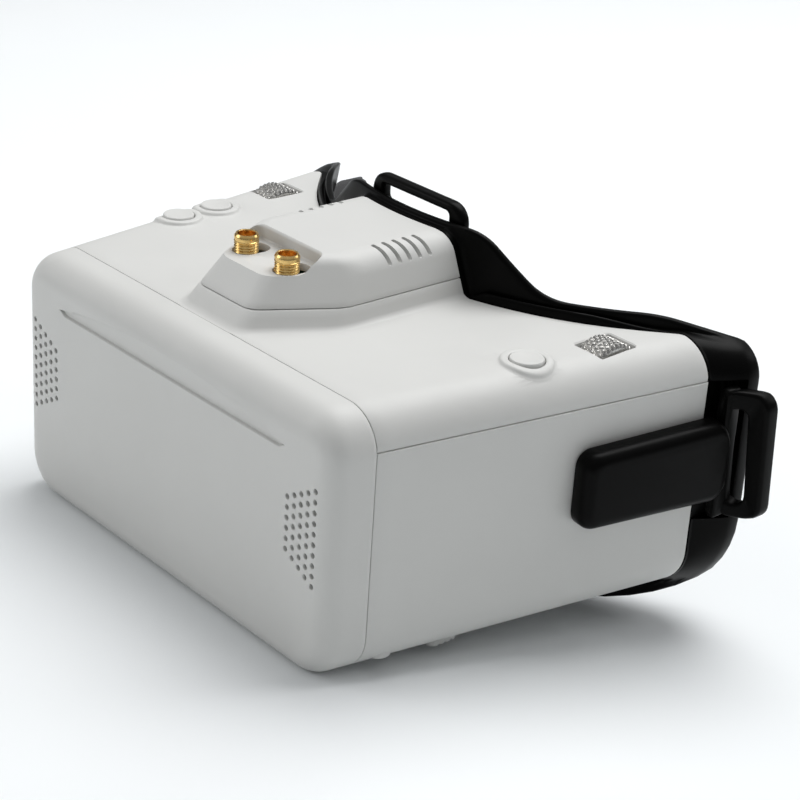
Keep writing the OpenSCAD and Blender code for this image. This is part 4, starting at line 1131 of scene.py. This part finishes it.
def rest_plane():
    """Height and slope of the level that the goggles stand on: it touches the round front lower edge
    and the lowest reach of the face frame's rim, further back."""
    rim = matched(FRAME_RIM)
    y = face_y(rim[:, 0], 4.3)
    front = np.array([FRONT_Y + FRONT_BOTTOM_R, BOTTOM_Z])
    slope = np.min((rim[:, 1] - front[1]) / (y - front[0]))
    return front[1] - slope * front[0], slope


def aim(thing, place, target):
    """Puts a light at a place in metres and turns it to a target."""
    thing.location = place
    thing.rotation_euler = (Vector(target) - Vector(place)).to_track_quat("-Z", "Y").to_euler()


class GOGGLES_OT_stage(bpy.types.Operator):
    """Camera, pale floor and soft studio light"""
    bl_idname = "goggles.stage"
    bl_label = "Stage"

    def execute(self, context):
        scene = context.scene
        azimuth, elevation, roll = radians(47.56), radians(24.97), radians(3.84)
        back = np.array([sin(azimuth) * cos(elevation), -cos(azimuth) * cos(elevation), sin(elevation)])
        right = np.array([cos(azimuth), sin(azimuth), 0])
        up = np.cross(back, right)
        side = right * cos(roll) + up * sin(roll)
        top = up * cos(roll) - right * sin(roll)
        data = bpy.data.cameras.new("camera")
        data.lens, data.sensor_width, data.clip_start = 91.87, 36, 0.01
        camera = bpy.data.objects.new("camera", data)
        scene.collection.objects.link(camera)
        turn = Matrix([[*row, 0] for row in np.stack([side, top, back], 1)] + [[0, 0, 0, 1]])
        camera.matrix_world = Matrix.Translation((0.37248, -0.32845, 0.26810 + LIFT * MM)) @ turn
        scene.camera = camera
        scene.view_settings.view_transform = "Standard"
        self.floor()
        self.lights()
        return {"FINISHED"}

    def floor(self):
        """Floor that follows the rest plane under the goggles and turns level in front and behind: its
        height is a tanh of the depth, which starts as the plane's slope."""
        height, slope = rest_plane()
        reach, turn = 6000, 90.0
        y = np.concatenate([[-reach, -900, -400], np.arange(-260, 261, 10.0), [400, 900, reach]])
        along = y / turn
        z = height + slope * turn * np.tanh(along ** 5 + along)
        points = np.stack([np.repeat([-reach, reach], len(y)), np.tile(y, 2), np.tile(z, 2)], 1)
        floor = new_mesh("floor", points, list(quads(2, len(y), close_columns=False)[:, ::-1]))
        floor.data.shade_smooth()
        s = Shader("pale_floor", Specular_IOR_Level=0.2)
        s.colour(s.tint(s.spread(s.noise(3), 0, 1), (0.88, 0.905, 0.915), (0.90, 0.92, 0.93)))
        s.rough(s.spread(s.noise(40), 0.6, 0.7))
        floor.data.materials.append(s.material)

    def lights(self):
        """A sky that is bright overhead and dimmer low down, and three large soft lamps."""
        world = bpy.data.worlds.new("studio")
        world.use_nodes = True
        nodes, links = world.node_tree.nodes, world.node_tree.links
        coords = nodes.new("ShaderNodeTexCoord")
        split = nodes.new("ShaderNodeSeparateXYZ")
        ramp = nodes.new("ShaderNodeMapRange")
        for key, value in (("From Min", -0.1), ("From Max", 0.9), ("To Min", 0.07), ("To Max", 0.50)):
            ramp.inputs[key].default_value = value
        links.new(coords.outputs["Generated"], split.inputs[0])
        links.new(split.outputs["Z"], ramp.inputs["Value"])
        links.new(ramp.outputs["Result"], nodes["Background"].inputs["Strength"])
        nodes["Background"].inputs["Color"].default_value = (0.97, 0.985, 1.0, 1)
        bpy.context.scene.world = world
        lamps = (("overhead", (-0.10, 0.45, 1.05), 1.0, 10.8), ("front", (-0.85, -1.0, 0.60), 0.8, 4.2),
                 ("back", (0.45, 1.2, 0.7), 0.6, 2.0))
        for name, place, size, power in lamps:
            data = bpy.data.lights.new(name, "AREA")
            data.shape, data.size, data.energy = "DISK", size, power
            light = bpy.data.objects.new(name, data)
            bpy.context.scene.collection.objects.link(light)
            aim(light, place, (0, 0, 0.04))


# ---- Panel and registration ------------------------------------------------------------------------

OPERATORS = (GOGGLES_OT_stage, GOGGLES_OT_inner_pieces, GOGGLES_OT_housing, GOGGLES_OT_hump,
             GOGGLES_OT_face_frame, GOGGLES_OT_face_foam, GOGGLES_OT_strap_arms, GOGGLES_OT_top_loop,
             GOGGLES_OT_antenna_jacks, GOGGLES_OT_wheels, GOGGLES_OT_buttons)


class GOGGLES_PT_panel(bpy.types.Panel):
    """Lists the steps that build the goggles"""
    bl_idname = "GOGGLES_PT_panel"
    bl_label = "Video goggles"
    bl_space_type = "VIEW_3D"
    bl_region_type = "UI"
    bl_category = "Goggles"

    def draw(self, context):
        for group in (context.scene.goggles_sizes, context.scene.goggles_colours):
            for name in group.bl_rna.properties.keys():
                if name not in ("rna_type", "name"):
                    self.layout.prop(group, name)
        for operator in OPERATORS:
            self.layout.operator(operator.bl_idname)


CLASSES = (GogglesSizes, GogglesColours, *OPERATORS, GOGGLES_PT_panel)


def register():
    for cls in CLASSES:
        bpy.utils.register_class(cls)
    bpy.types.Scene.goggles_sizes = bpy.props.PointerProperty(type=GogglesSizes)
    bpy.types.Scene.goggles_colours = bpy.props.PointerProperty(type=GogglesColours)


def unregister():
    del bpy.types.Scene.goggles_sizes
    del bpy.types.Scene.goggles_colours
    for cls in reversed(CLASSES):
        bpy.utils.unregister_class(cls)


def main():
    register()
    for operator in OPERATORS:
        group, name = operator.bl_idname.split(".")
        getattr(getattr(bpy.ops, group), name)()


if __name__ == "__main__":
    main()
